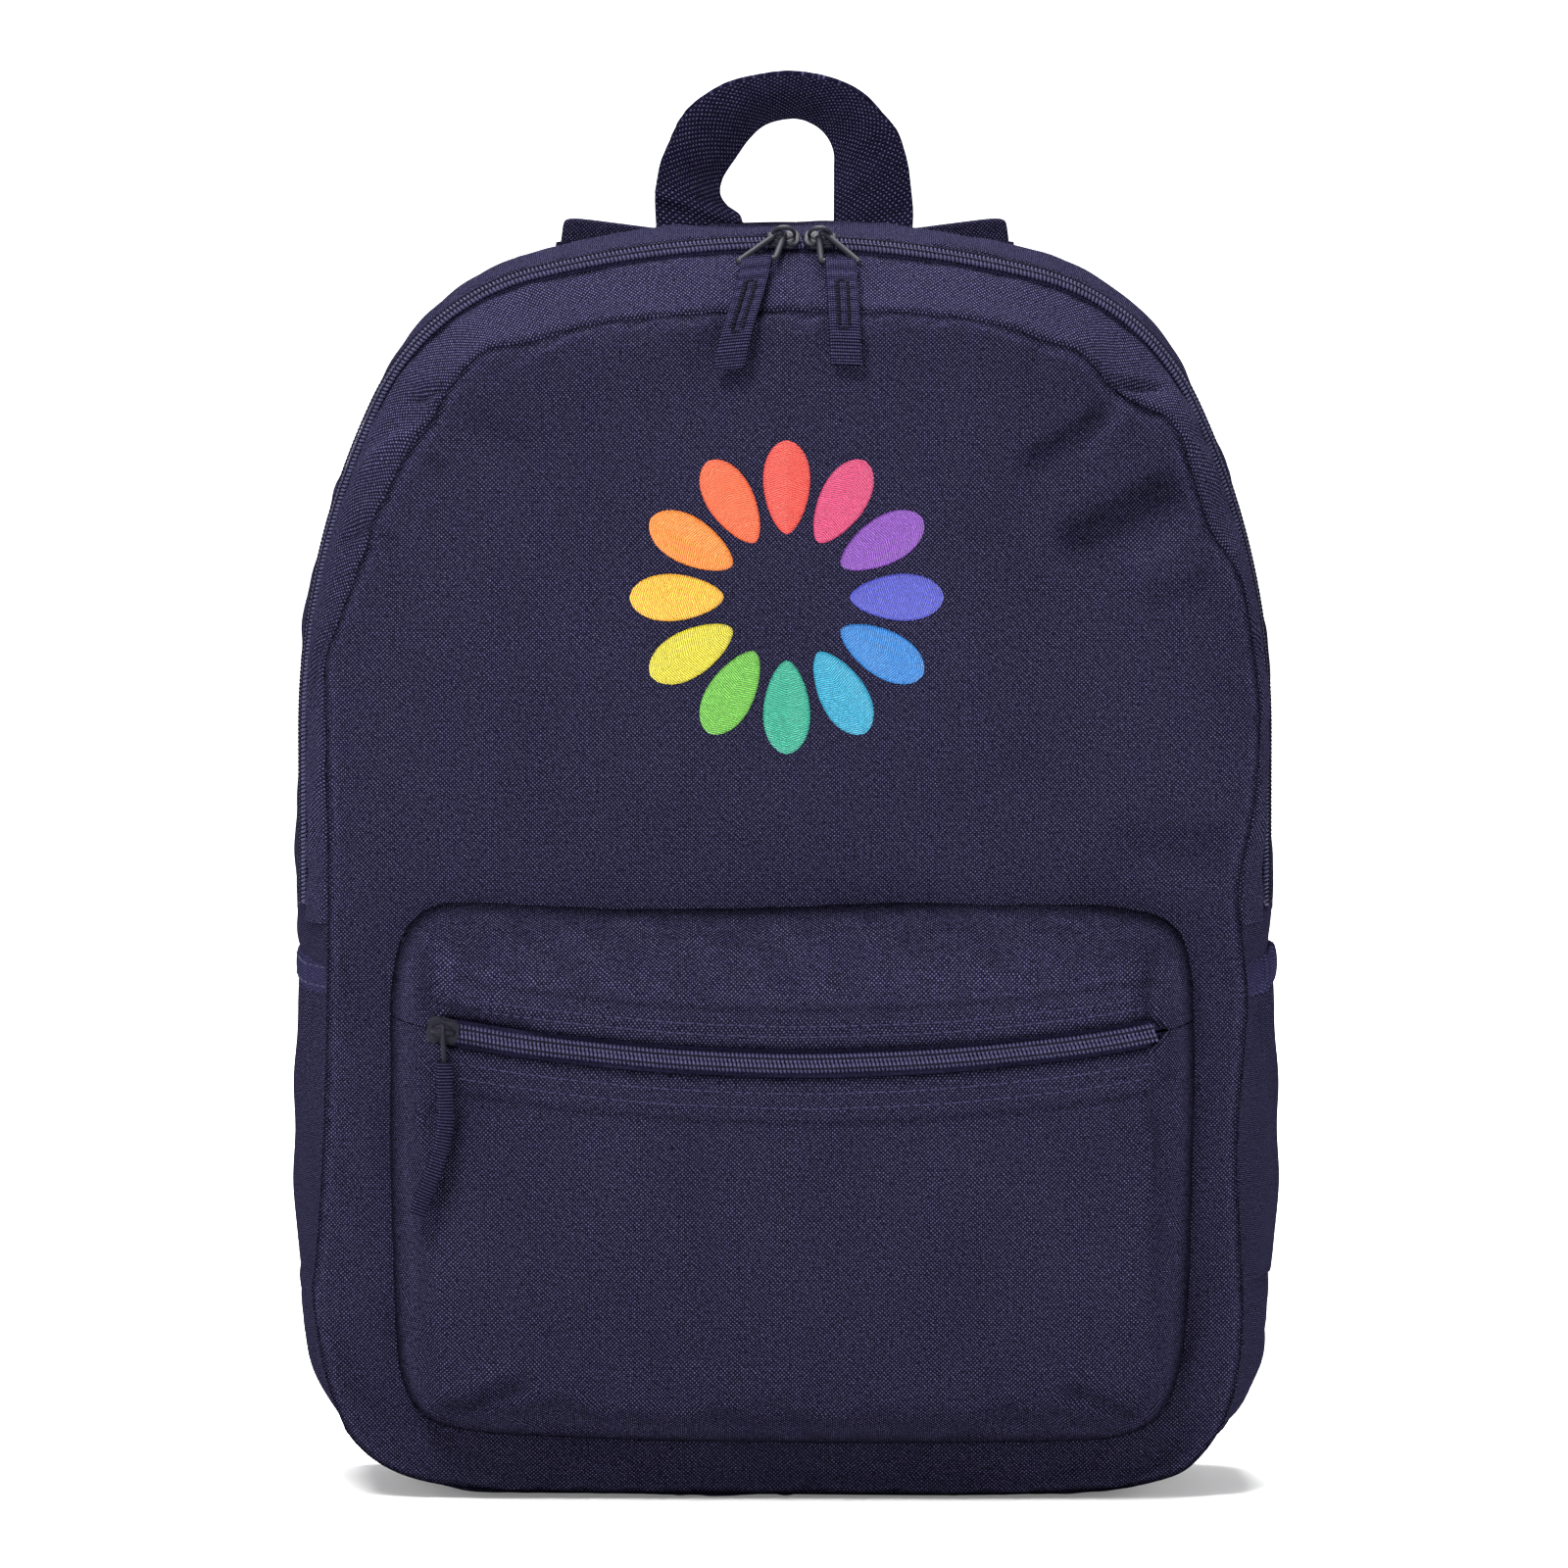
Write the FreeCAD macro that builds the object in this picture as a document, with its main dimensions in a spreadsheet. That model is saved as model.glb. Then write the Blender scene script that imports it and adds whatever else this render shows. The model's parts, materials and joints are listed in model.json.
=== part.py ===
"""School backpack: a soft bag with an arched two-way zip, a front flap that folds forward,
a zipped front pocket, two open side pockets, a webbing handle and two padded shoulder straps.

Frame: millimetres, +Z up, the front of the bag towards -Y, the origin on the floor under the middle.
Cloth walls are modelled as plain closed sheets of one thickness.
"""

import FreeCAD, Part
import math
import os

import Sketcher

V = FreeCAD.Vector
doc = FreeCAD.newDocument("Backpack")
os.makedirs("parts", exist_ok=True)

# ---------------------------------------------------------------- driving dimensions

SIZES = {
    # the bag's walls, front to back: the seam, the two edges of the zip's sloping strip, the back
    "seam_y": -66.0, "strip_front_y": -44.2, "strip_rear_y": -31.8, "rear_y": 10.0, "back_y": 50.0,
    "front_face_y": -70.5, "cloth": 1.5, "gap": 0.3,
    # half-width and height of the outline at each of those places
    "seam_half": 151.0, "strip_front_half": 159.5, "strip_rear_half": 162.0, "back_half": 156.0,
    "seam_top": 393.3, "strip_front_top": 410.3, "strip_rear_top": 417.5, "rear_top": 418.0,
    "back_top": 416.0,
    # the arch: a flat top arc, a tight shoulder and a long side arc, then the bottom corners
    "top_radius": 341.0, "top_sweep": 14.1, "shoulder_radius": 77.0, "shoulder_end": 64.5,
    "seam_radius": 376.0, "seam_sweep": 15.1, "seam_shoulder": 40.0, "seam_end": 62.0,
    "corner_radius": 60.0,
    # the flap folds here, and the main zip ends just above
    "fold_z": 200.0,
    # back panel
    "back_foam": 5.0, "back_lining": 1.0, "foam_margin": 12.0,
    # zips: two coils side by side, each on its own tape
    "coil_gap": 1.1, "coil_width": 2.6, "coil_height": 2.2, "coil_depth": 1.3,
    "tape_width": 12.0, "tape_thick": 0.7,
    # sliders and pulls
    "slider_length": 11.0, "slider_width": 9.0, "plate_thick": 1.2, "plate_gap": 3.4,
    "neck_thick": 0.8, "neck_length": 3.0, "bridge_height": 4.2, "bridge_wall": 1.1, "bridge_width": 7.0,
    "bar_rise": 1.6, "crown_height": 4.6, "crown_bar": 1.4,
    "puller_length": 10.0, "puller_width": 12.0, "puller_head": 5.0, "puller_thick": 1.3,
    "tab_width": 11.0, "tab_thick": 2.2, "tab_chord": 42.0, "tab_rise": 9.8,
    "slider_tilt": 30.0, "meet_x": 5.5, "pull_slope": 38.0,
    "pocket_tab_width": 10.0, "pocket_tab_thick": 4.4, "pocket_tab_chord": 49.0, "pocket_tab_rise": 5.0,
    # front pocket
    "pocket_x": 3.5, "pocket_width": 256.0, "pocket_top": 196.5, "pocket_bottom": 24.0,
    "pocket_zip_y": -97.0, "pocket_zip_mid": 147.4, "pocket_zip_radius": 666.0, "pocket_zip_x": 6.5,
    "pocket_front_y": -103.0, "pocket_cloth": 1.2, "pocket_zip_half": 119.0, "pocket_slider_at": -113.5,
    # side pockets
    "side_inset": 12.0, "side_pocket_low": 66.0, "side_pocket_top": 178.0, "hem_height": 9.0,
    # handle
    "handle_half": 42.7, "webbing": 25.4, "webbing_thick": 2.4, "handle_top": 466.0,
    "handle_y": 60.0, "handle_pivot": 419.5,
    # shoulder straps
    "strap_top_x": 46.0, "strap_top_z": 408.0, "strap_low_x": 150.0, "strap_low_z": 100.0,
    "strap_y": 71.0, "strap_rise": 36.0, "pad_width": 56.0, "pad_thick": 11.0,
    "pad_start": 14.0, "pad_end": 232.0, "foam_inset": 2.0,
    "buckle_length": 30.0, "buckle_width": 34.0, "buckle_thick": 4.0,
    "strap_webbing_thick": 1.6, "tail_length": 88.0,
    # embroidered badge
    "badge_z": 299.7, "petals": 12.0, "petal_in": 19.0, "petal_out": 51.0, "petal_width": 13.0,
    "badge_thick": 1.0,
}

sheet = doc.addObject("Spreadsheet::Sheet", "Sizes")
for row, (alias, value) in enumerate(SIZES.items(), start=1):
    sheet.set("A%d" % row, alias)
    sheet.set("B%d" % row, str(value))
    sheet.setAlias("B%d" % row, alias)
doc.recompute()


def size(alias):
    """A driving dimension, read back from the sheet."""
    return float(getattr(sheet, alias))


PARTS = {}  # node name to the document object that holds its final shape


def keep(node, obj):
    """Names a finished sub-part: its Label becomes its file's name."""
    obj.Label = node
    PARTS[node] = obj
    return obj


def feature(node, shape, placement=None):
    """A sub-part whose shape is worked out with Part's own functions."""
    obj = doc.addObject("Part::Feature", node)
    obj.Shape = shape
    if placement is not None:
        obj.Placement = placement
    return keep(node, obj)


# ---------------------------------------------------------------- outlines

def polar(centre, radius, angle):
    """The point at an angle in degrees, measured from straight up towards +X."""
    a = math.radians(angle)
    return V(centre.x + radius * math.sin(a), 0, centre.z + radius * math.cos(a))


def arc(centre, radius, start, end):
    """The arc between two such angles, as a Part edge in the XZ plane."""
    middle = (start + end) / 2.0
    return Part.Arc(polar(centre, radius, start), polar(centre, radius, middle),
                    polar(centre, radius, end)).toShape()


def line(a, b):
    return Part.LineSegment(a, b).toShape()


def arch_names(half, top):
    return (half, top, "top_radius", "top_sweep", "shoulder_radius", "shoulder_end")


FRONT_SEAM = ("seam_half", "seam_top", "seam_radius", "seam_sweep", "seam_shoulder", "seam_end")
STATIONS = [
    ("seam_y", FRONT_SEAM),
    ("strip_front_y", arch_names("strip_front_half", "strip_front_top")),
    ("strip_rear_y", arch_names("strip_rear_half", "strip_rear_top")),
    ("rear_y", arch_names("strip_rear_half", "rear_top")),
    ("back_y", arch_names("back_half", "back_top")),
]


def outline_at(y):
    """The outline's six numbers at a depth, straight between the stations."""
    table = [(size(place), [size(a) for a in names]) for place, names in STATIONS]
    if y <= table[0][0]:
        return table[0][1]
    for (y0, low), (y1, high) in zip(table, table[1:]):
        if y <= y1:
            share = (y - y0) / (y1 - y0)
            return [a + share * (b - a) for a, b in zip(low, high)]
    return table[-1][1]


def arch_centres(numbers, inset):
    """Centres, radii and end angles of the arch's three arcs, moved inwards by inset."""
    half, top, r_top, sweep, r_shoulder, end = numbers
    top_centre = V(0, 0, top - r_top)
    shoulder_centre = polar(top_centre, r_top - r_shoulder, sweep)
    joint = polar(shoulder_centre, r_shoulder, end)
    r_side = (half - joint.x) / (1 - math.sin(math.radians(end)))
    side_centre = polar(joint, -r_side, end)
    return [(top_centre, r_top - inset, 0.0, sweep),
            (shoulder_centre, r_shoulder - inset, sweep, end),
            (side_centre, r_side - inset, end, 90.0)]


def outline(y, inset=0.0):
    """The bag's closed outline at a depth, as a wire, moved inwards by inset."""
    numbers = outline_at(y)
    half = numbers[0]
    corner = size("corner_radius")
    top, shoulder, side = arch_centres(numbers, inset)
    foot = V(half - corner, 0, corner)
    base = V(half - corner, 0, inset)
    right = [
        arc(foot, corner - inset, 180.0, 90.0),
        line(V(half - inset, 0, corner), polar(side[0], side[1], 90.0)),
        arc(side[0], side[1], 90.0, side[2]),
        arc(shoulder[0], shoulder[1], shoulder[3], shoulder[2]),
    ]
    crown = arc(top[0], top[1], top[3], -top[3])
    mirror = FreeCAD.Matrix(-1, 0, 0, 0, 0, 1, 0, 0, 0, 0, 1, 0, 0, 0, 0, 1)
    left = [edge.transformGeometry(mirror) for edge in reversed(right)]
    edges = right + [crown] + left + [line(V(-base.x, 0, base.z), base)]
    wire = Part.Wire(Part.__sortEdges__(edges))
    wire.translate(V(0, y, 0))
    return wire


def band(depths, outer=0.0, inner=None):
    """A closed hoop of cloth that follows the outline through the given depths."""
    inner = outer + size("cloth") if inner is None else inner
    solids = [Part.makeLoft([outline(y, inset) for y in depths], True, True) for inset in (outer, inner)]
    return solids[0].cut(solids[1])


def slab(low, high):
    """A large box between two heights, for cutting hoops."""
    return Part.makeBox(500, 500, high - low, V(-250, -250, low))


def add_body(node):
    return doc.addObject("PartDesign::Body", "body_" + node)


def plane_of(body, role):
    return [f for f in body.Origin.OriginFeatures if f.Role == role][0]


def add_sketch(body, role, offset, curves):
    """A sketch of closed loops on one of the body's own planes, moved along its normal."""
    sketch = body.newObject("Sketcher::SketchObject", "sketch")
    sketch.AttachmentSupport = [(plane_of(body, role), "")]
    sketch.MapMode = "FlatFace"
    sketch.AttachmentOffset = FreeCAD.Placement(V(0, 0, offset), FreeCAD.Rotation())
    for curve in curves:
        sketch.addGeometry(curve, False)
    return sketch


def add_pad(body, sketch, length, middle=False):
    """Pads the sketch by a length given as an expression on the sheet."""
    pad = body.newObject("PartDesign::Pad", "pad")
    pad.Profile = sketch
    pad.setExpression("Length", length)
    pad.Midplane = middle
    return pad


def flat(point):
    """A point of the XZ plane as a sketch point."""
    return V(point.x, point.z, 0)


def sketch_line(a, b):
    return Part.LineSegment(a, b)


def sketch_arc(a, through, b):
    return Part.Arc(a, through, b)


def polygon(points):
    return [sketch_line(a, b) for a, b in zip(points, points[1:] + points[:1])]


def rectangle_sketch(body, role, offset, width, height, x=0.0, y=0.0):
    """A centred rectangle whose two sizes are expressions on the sheet."""
    sketch = add_sketch(body, role, offset, polygon([V(x - 5, y - 5, 0), V(x + 5, y - 5, 0),
                                                     V(x + 5, y + 5, 0), V(x - 5, y + 5, 0)]))
    for a in range(4):
        sketch.addConstraint(Sketcher.Constraint("Coincident", a, 2, (a + 1) % 4, 1))
    for a in (0, 2):
        sketch.addConstraint(Sketcher.Constraint("Horizontal", a))
    for a in (1, 3):
        sketch.addConstraint(Sketcher.Constraint("Vertical", a))
    wide = sketch.addConstraint(Sketcher.Constraint("DistanceX", 0, 1, 0, 2, 10.0))
    high = sketch.addConstraint(Sketcher.Constraint("DistanceY", 1, 1, 1, 2, 10.0))
    left = sketch.addConstraint(Sketcher.Constraint("DistanceX", -1, 1, 0, 2, 5.0 + x))
    low = sketch.addConstraint(Sketcher.Constraint("DistanceY", -1, 1, 1, 2, 5.0 + y))
    sketch.setExpression("Constraints[%d]" % wide, width)
    sketch.setExpression("Constraints[%d]" % high, height)
    sketch.setExpression("Constraints[%d]" % left, "(%s) / 2 + %s" % (width, x))
    sketch.setExpression("Constraints[%d]" % low, "(%s) / 2 + %s" % (height, y))
    return sketch


def arch_curves(numbers, inset, low):
    """Sketch curves of the outline above a height: the two sides, the arch and the straight foot."""
    top, shoulder, side = arch_centres(numbers, inset)
    half = numbers[0] - inset
    curves = []
    for sign in (1, -1):
        for centre, radius, start, end in (top, shoulder, side):
            first, last = (0.0 if centre is top[0] else start), end
            if sign < 0 and centre is top[0]:
                continue
            if centre is top[0]:
                first = -end
            points = [polar(centre, radius, a) for a in (first, (first + last) / 2.0, last)]
            flats = [V(sign * p.x, p.z, 0) for p in points]
            curves.append(sketch_arc(*flats))
        curves.append(sketch_line(V(sign * half, side[0].z, 0), V(sign * half, low, 0)))
    curves.append(sketch_line(V(-half, low, 0), V(half, low, 0)))
    return curves


def corner_curves(half, inset):
    """Sketch curves of the foot and its two round corners."""
    corner = size("corner_radius")
    curves = [sketch_line(V(-(half - corner), inset, 0), V(half - corner, inset, 0))]
    for sign in (1, -1):
        centre = V(half - corner, 0, corner)
        points = [polar(centre, corner - inset, a) for a in (180.0, 135.0, 90.0)]
        curves.append(sketch_arc(*[V(sign * p.x, p.z, 0) for p in points]))
    return curves


def lower_curves(half, inset, high):
    """Sketch curves of the outline below a height: the foot, two round corners and two sides."""
    corner = size("corner_radius")
    curves = corner_curves(half, inset)
    curves.append(sketch_line(V(-(half - inset), high, 0), V(half - inset, high, 0)))
    for sign in (1, -1):
        curves.append(sketch_line(V(sign * (half - inset), corner, 0), V(sign * (half - inset), high, 0)))
    return curves


def full_curves(numbers, inset):
    """Sketch curves of the whole outline."""
    sides_and_arch = arch_curves(numbers, inset, size("corner_radius"))[:-1]
    return sides_and_arch + corner_curves(numbers[0], inset)


def plate(node, role, offset, curves, thickness, middle=False):
    """One flat sheet: a sketch and a pad in a body of its own. The XZ plane's normal is -Y."""
    body = add_body(node)
    sketch = add_sketch(body, role, offset, curves)
    add_pad(body, sketch, thickness, middle)
    return keep(node, body)


# ---------------------------------------------------------------- back panel

def build_back():
    """The padded back: an outer cloth, a foam sheet and an inner lining, one behind the other."""
    numbers = outline_at(size("back_y"))
    gap = size("gap")
    lining, foam = size("back_lining"), size("back_foam")
    y = size("back_y") + gap + lining
    plate("back_lining", "XZ_Plane", -y, full_curves(numbers, 0.0), "Sizes.back_lining")
    y += gap + foam
    plate("back_foam", "XZ_Plane", -y, full_curves(numbers, size("foam_margin")), "Sizes.back_foam")
    y += gap + size("cloth")
    plate("back_panel", "XZ_Plane", -y, full_curves(numbers, 0.0), "Sizes.cloth")
    return y


BACK_FACE = build_back()  # the plane of the back's outer face

# ---------------------------------------------------------------- gusset, sides and bottom

def build_walls():
    """The cloth round the bag: two arched gussets, one each side of the zip, and the bottom."""
    gap, fold, corner = size("gap"), size("fold_z"), size("corner_radius")
    rear = band([size("strip_rear_y"), size("rear_y"), size("back_y")])
    feature("rear_gusset", rear.common(slab(fold + gap, 500)))
    front = band([size("seam_y"), size("strip_front_y")])
    feature("front_gusset", front.common(slab(fold + gap, 500)))
    whole = band([size(place) for place, _ in STATIONS])
    feature("bottom_panel", whole.common(slab(-1, corner)))


build_walls()


def plan_strip(sign, inset, offset, thickness, z):
    """A side wall's section at a height: a strip that bows out between the front and back seams."""
    ends = [(size("seam_half"), size("seam_y"), 0.0), (size("strip_front_half"), size("strip_front_y"), 1.0),
            (size("strip_rear_half"), size("rear_y"), 1.0), (size("back_half"), size("back_y"), 0.0)]
    outer = [V(sign * (x + offset - inset * share), y, z) for x, y, share in ends]
    inner = [p - V(sign * thickness, 0, 0) for p in reversed(outer)]
    return Part.makePolygon(outer + inner + [outer[0]])


def build_sides():
    """The two side panels, drawn in behind the side pockets, and the pockets with their hems."""
    cloth, gap, inset = size("cloth"), size("gap"), size("side_inset")
    low, high = size("side_pocket_low"), size("side_pocket_top")
    corner, fold, hem = size("corner_radius"), size("fold_z"), size("hem_height")
    for name, sign in (("left", -1), ("right", 1)):
        levels = [(corner + gap, 0.0), (low + 8.0, inset), (high - 6.0, inset), (fold - gap, 0.0)]
        wall = Part.makeLoft([plan_strip(sign, i, 0.0, cloth, z) for z, i in levels], True, True)
        feature("side_panel_" + name, wall)
        outside = gap + cloth
        sheet_low = plan_strip(sign, inset - 1.0, outside, cloth, low + 9.0)
        sheet_mid = plan_strip(sign, 0.0, outside, cloth, low + 26.0)
        sheet_top = plan_strip(sign, 0.0, outside, cloth, high - hem)
        feature("side_pocket_" + name, Part.makeLoft([sheet_low, sheet_mid, sheet_top], True, True))
        hem_low = plan_strip(sign, 0.0, outside + 0.2, cloth + 0.2, high - hem + gap)
        hem_top = plan_strip(sign, 1.5, outside + 0.2, cloth + 0.2, high)
        feature("side_pocket_hem_" + name, Part.makeLoft([hem_low, hem_top], True, True))


build_sides()

# ---------------------------------------------------------------- front panel, in its two folding parts

def build_front():
    """The front sheet. Its upper part folds forward on the line where the main zip ends."""
    gap, fold = size("gap"), size("fold_z")
    numbers = outline_at(size("seam_y"))
    offset = -(size("front_face_y") + size("cloth"))
    plate("front_panel_lower", "XZ_Plane", offset, lower_curves(numbers[0], 0.0, fold - gap), "Sizes.cloth")
    plate("front_panel_upper", "XZ_Plane", offset, arch_curves(numbers, 0.0, fold + gap), "Sizes.cloth")
    filler = (size("front_face_y") + size("cloth") + gap, size("seam_y") - gap)
    seam = band([filler[0], filler[1]], 0.0, 4.0)
    feature("front_seam_upper", seam.common(slab(fold + gap, 500)))
    feature("front_seam_lower", seam.common(slab(-1, fold - gap)))


build_front()

# ---------------------------------------------------------------- main zip

def zip_row(node, y0, y1, inset0, inset1):
    """One long row of the main zip, over the arch and down both sides to the fold."""
    edges = [size("strip_front_y"), size("strip_rear_y")]
    hoop = band([y0] + [y for y in edges if y0 < y < y1] + [y1], inset0, inset1)
    return feature(node, hoop.common(slab(size("fold_z") + 4.0, 500)))


def strip_middle():
    """The zip's own line: midway across its sloping strip."""
    return (size("strip_front_y") + size("strip_rear_y")) / 2.0


def build_main_zip():
    """Each half of the zip is a coil sewn to the edge of a tape, which runs under the gusset."""
    y, coil_gap, width = strip_middle(), size("coil_gap"), size("coil_width")
    middle, half = size("coil_depth"), size("coil_height") / 2
    zip_row("main_zip_coil_front", y - coil_gap - width, y - coil_gap, middle - half, middle + half)
    zip_row("main_zip_coil_rear", y + coil_gap, y + coil_gap + width, middle - half, middle + half)
    edge, reach = coil_gap + width + 0.1, size("tape_width")
    under = size("cloth") + size("gap")
    zip_row("main_zip_tape_front", y - edge - reach, y - edge, under, under + size("tape_thick"))
    zip_row("main_zip_tape_rear", y + edge, y + edge + reach, under, under + size("tape_thick"))


build_main_zip()

# ---------------------------------------------------------------- sliders, pullers and pull tabs

def block(name, length, width, height, x, y, z):
    """A Part box, all six numbers bound to the sheet, centred on x and y."""
    box = doc.addObject("Part::Box", name)
    box.setExpression("Length", length)
    box.setExpression("Width", width)
    box.setExpression("Height", height)
    box.setExpression("Placement.Base.x", "%s - (%s) / 2" % (x, length))
    box.setExpression("Placement.Base.y", "%s - (%s) / 2" % (y, width))
    box.setExpression("Placement.Base.z", z)
    return box


def slider(node, placement, own_side, crown):
    """A zip slider: a top plate, a neck between the coils, a low plate and a bridge for the puller.

    The low plate is only on the side of the coil that the slider stays with, so the other can part.
    A crown bridges along the slider, with its bar over the middle; otherwise the bridge is across it.
    """
    half_gap = "Sizes.plate_gap / 2"
    lift = half_gap + " + Sizes.plate_thick"
    top = block(node + "_top", "Sizes.slider_length", "Sizes.slider_width", "Sizes.plate_thick", "0", "0", half_gap)
    low = block(node + "_low", "Sizes.slider_length", "Sizes.slider_width / 2", "Sizes.plate_thick", "0",
                "%d * Sizes.slider_width / 4" % own_side, "-(%s)" % lift)
    neck = block(node + "_neck", "Sizes.neck_length", "Sizes.neck_thick",
                 "Sizes.plate_gap + 2 * Sizes.plate_thick", "Sizes.slider_length / 2 - Sizes.neck_length / 2",
                 "0", "-(%s)" % lift)
    if crown:
        bridge = block(node + "_bridge", "Sizes.bridge_width", "Sizes.crown_bar", "Sizes.crown_height", "0", "0", lift)
        hole = block(node + "_hole", "Sizes.bridge_width - 2 * Sizes.bridge_wall", "6",
                     "Sizes.crown_height - Sizes.bridge_wall", "0", "0", lift)
    else:
        bridge = block(node + "_bridge", "2.4", "Sizes.bridge_width", "Sizes.bridge_height", "0", "0", lift)
        hole = block(node + "_hole", "6", "Sizes.bridge_width - 2 * Sizes.bridge_wall",
                     "Sizes.bridge_height - Sizes.bridge_wall", "0", "0", lift)
    arch = doc.addObject("Part::Cut", node + "_arch")
    arch.Base, arch.Tool = bridge, hole
    whole = doc.addObject("Part::MultiFuse", node)
    whole.Shapes = [top, low, neck, arch]
    whole.Placement = placement
    return keep(node, whole)


def puller(node, placement, length, width, head):
    """A flat ring that narrows to its bar: the bar turns under the slider's bridge."""
    half, top, long = size(width) / 2, size(head) / 2, size(length)
    bar, rim, foot = 0.65, 1.3, 1.6
    outer = [V(-top, -bar, 0), V(-top, bar, 0), V(-half, long - foot, 0), V(-half, long + bar, 0),
             V(half, long + bar, 0), V(half, long - foot, 0), V(top, bar, 0), V(top, -bar, 0)]
    slope = rim * 1.05
    inner = [V(-top + slope, bar, 0), V(-half + rim, long - foot, 0), V(-half + rim, long - foot + 0.9, 0),
             V(half - rim, long - foot + 0.9, 0), V(half - rim, long - foot, 0), V(top - slope, bar, 0)]
    body = add_body(node)
    sketch = add_sketch(body, "XY_Plane", 0.0, polygon(outer) + polygon(inner))
    add_pad(body, sketch, "Sizes.puller_thick", True)
    body.Placement = placement
    return keep(node, body)


def ring_puller(node, placement):
    """A slim ring that hangs round a crown's bar: local X along the crown, local Y down the ring."""
    top, long, rim = size("puller_head") / 2, size("puller_length"), 1.3
    outer = [V(-top, -2.8, 0), V(top, -2.8, 0), V(top, long + 0.65, 0), V(-top, long + 0.65, 0)]
    inner = [V(-top + rim, -1.5, 0), V(top - rim, -1.5, 0), V(top - rim, long - 0.65, 0),
             V(-top + rim, long - 0.65, 0)]
    body = add_body(node)
    sketch = add_sketch(body, "XY_Plane", 0.0, polygon(outer) + polygon(inner))
    add_pad(body, sketch, "Sizes.puller_thick", True)
    body.Placement = placement
    return keep(node, body)


def pull_tab(node, placement, prefix):
    """A folded webbing tab: a strip bent along a shallow arc that starts at the puller's foot."""
    long, high, thick = size(prefix + "_chord"), size(prefix + "_rise"), size(prefix + "_thick")
    radius = (long * long / 4 + high * high) / (2 * high)
    middle = V(long / 2, high - radius, 0)
    start = math.degrees(math.asin(long / 2 / radius))
    body = add_body(node)
    at = [V(middle.x + r * math.sin(math.radians(a)), middle.y + r * math.cos(math.radians(a)), 0)
          for r in (radius + thick / 2, radius - thick / 2) for a in (-start, 0.0, start)]
    curves = [sketch_arc(at[0], at[1], at[2]), sketch_line(at[2], at[5]),
              sketch_arc(at[5], at[4], at[3]), sketch_line(at[3], at[0])]
    sketch = add_sketch(body, "XY_Plane", 0.0, curves)
    add_pad(body, sketch, "Sizes.%s_width" % prefix, True)
    body.Placement = placement
    return keep(node, body)


def frame_from(origin, x_axis, y_axis):
    """A placement whose local X and Y point along the given directions."""
    x = V(x_axis).normalize()
    z = x.cross(V(y_axis)).normalize()
    y = z.cross(x)
    matrix = FreeCAD.Matrix(x.x, y.x, z.x, origin.x, x.y, y.y, z.y, origin.y, x.z, y.z, z.z, origin.z, 0, 0, 0, 1)
    return FreeCAD.Placement(matrix)


def build_main_pulls():
    """Two sliders meet nose to nose near the middle; each pull hangs forward over the front gusset."""
    apex = (size("strip_front_top") + size("strip_rear_top")) / 2.0
    centre = V(0, strip_middle(), apex - size("top_radius"))
    reach = size("top_radius") - size("coil_depth")
    tilt, slope = size("slider_tilt"), math.radians(size("pull_slope"))
    half = size("slider_length") / 2 + 0.4
    rise = size("plate_gap") / 2 + size("plate_thick") + size("bar_rise")
    for name, sign, lean in (("left", -1, -13.6), ("right", 1, 2.5)):
        x = size("meet_x") + sign * half
        turn = math.degrees(math.asin(x / reach))
        seat = V(centre.x + reach * math.sin(math.radians(turn)), centre.y,
                 centre.z + reach * math.cos(math.radians(turn)))
        along = FreeCAD.Rotation(V(0, 1, 0), turn)
        tip = along.multiply(FreeCAD.Rotation(V(1, 0, 0), tilt))
        facing = tip.multiply(FreeCAD.Rotation(V(0, 0, 1), 0 if sign < 0 else 180))
        slider("main_slider_" + name, FreeCAD.Placement(seat, facing), sign, False)
        pivot = seat + tip.multVec(V(0, 0, rise))
        shift = math.tan(math.radians(lean))
        down = V(shift * 0.7, -math.cos(slope), -math.sin(slope)).normalize()
        across = V(1, 0, 0) - down * down.x
        puller("main_puller_" + name, frame_from(pivot, across, down), "puller_length", "puller_width",
               "puller_head")
        foot = pivot + down * (size("puller_length") + 2.5)
        fall = V(shift, -0.66, -0.75).normalize()
        outward = fall.cross(across)
        if outward.z < 0:
            outward = outward * -1
        pull_tab("main_pull_tab_" + name, frame_from(foot, fall, outward), "tab")


build_main_pulls()

# ---------------------------------------------------------------- front pocket

def pocket_prism(points, width, x):
    """A sheet bent about lines that run across the bag: a side-view outline stretched along X."""
    face = Part.Face(Part.makePolygon([V(0, y, z) for y, z in points + points[:1]]))
    solid = face.extrude(V(width, 0, 0))
    solid.translate(V(x - width / 2, 0, 0))
    return solid


def thicken(points, thickness):
    """A side-view strip: the given line, and the same line moved inwards, as one closed outline."""
    inner = []
    for i, (y, z) in enumerate(points):
        before, after = points[max(i - 1, 0)], points[min(i + 1, len(points) - 1)]
        run = V(0, after[0] - before[0], after[1] - before[1]).normalize()
        inner.append((y - run.z * thickness, z + run.y * thickness))
    return points + inner[::-1]


def zip_ring(r0, r1, y0, y1, x, z, reach):
    """Part of a flat ring about a centre high above: a row of the pocket's sagging zip."""
    ring = Part.makeCylinder(r1, y1 - y0, V(x, y0, z), V(0, 1, 0)).cut(
        Part.makeCylinder(r0, y1 - y0, V(x, y0, z), V(0, 1, 0)))
    return ring.common(Part.makeBox(2 * reach, y1 - y0, 60, V(x - reach, y0, z - r1 - 5)))


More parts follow.
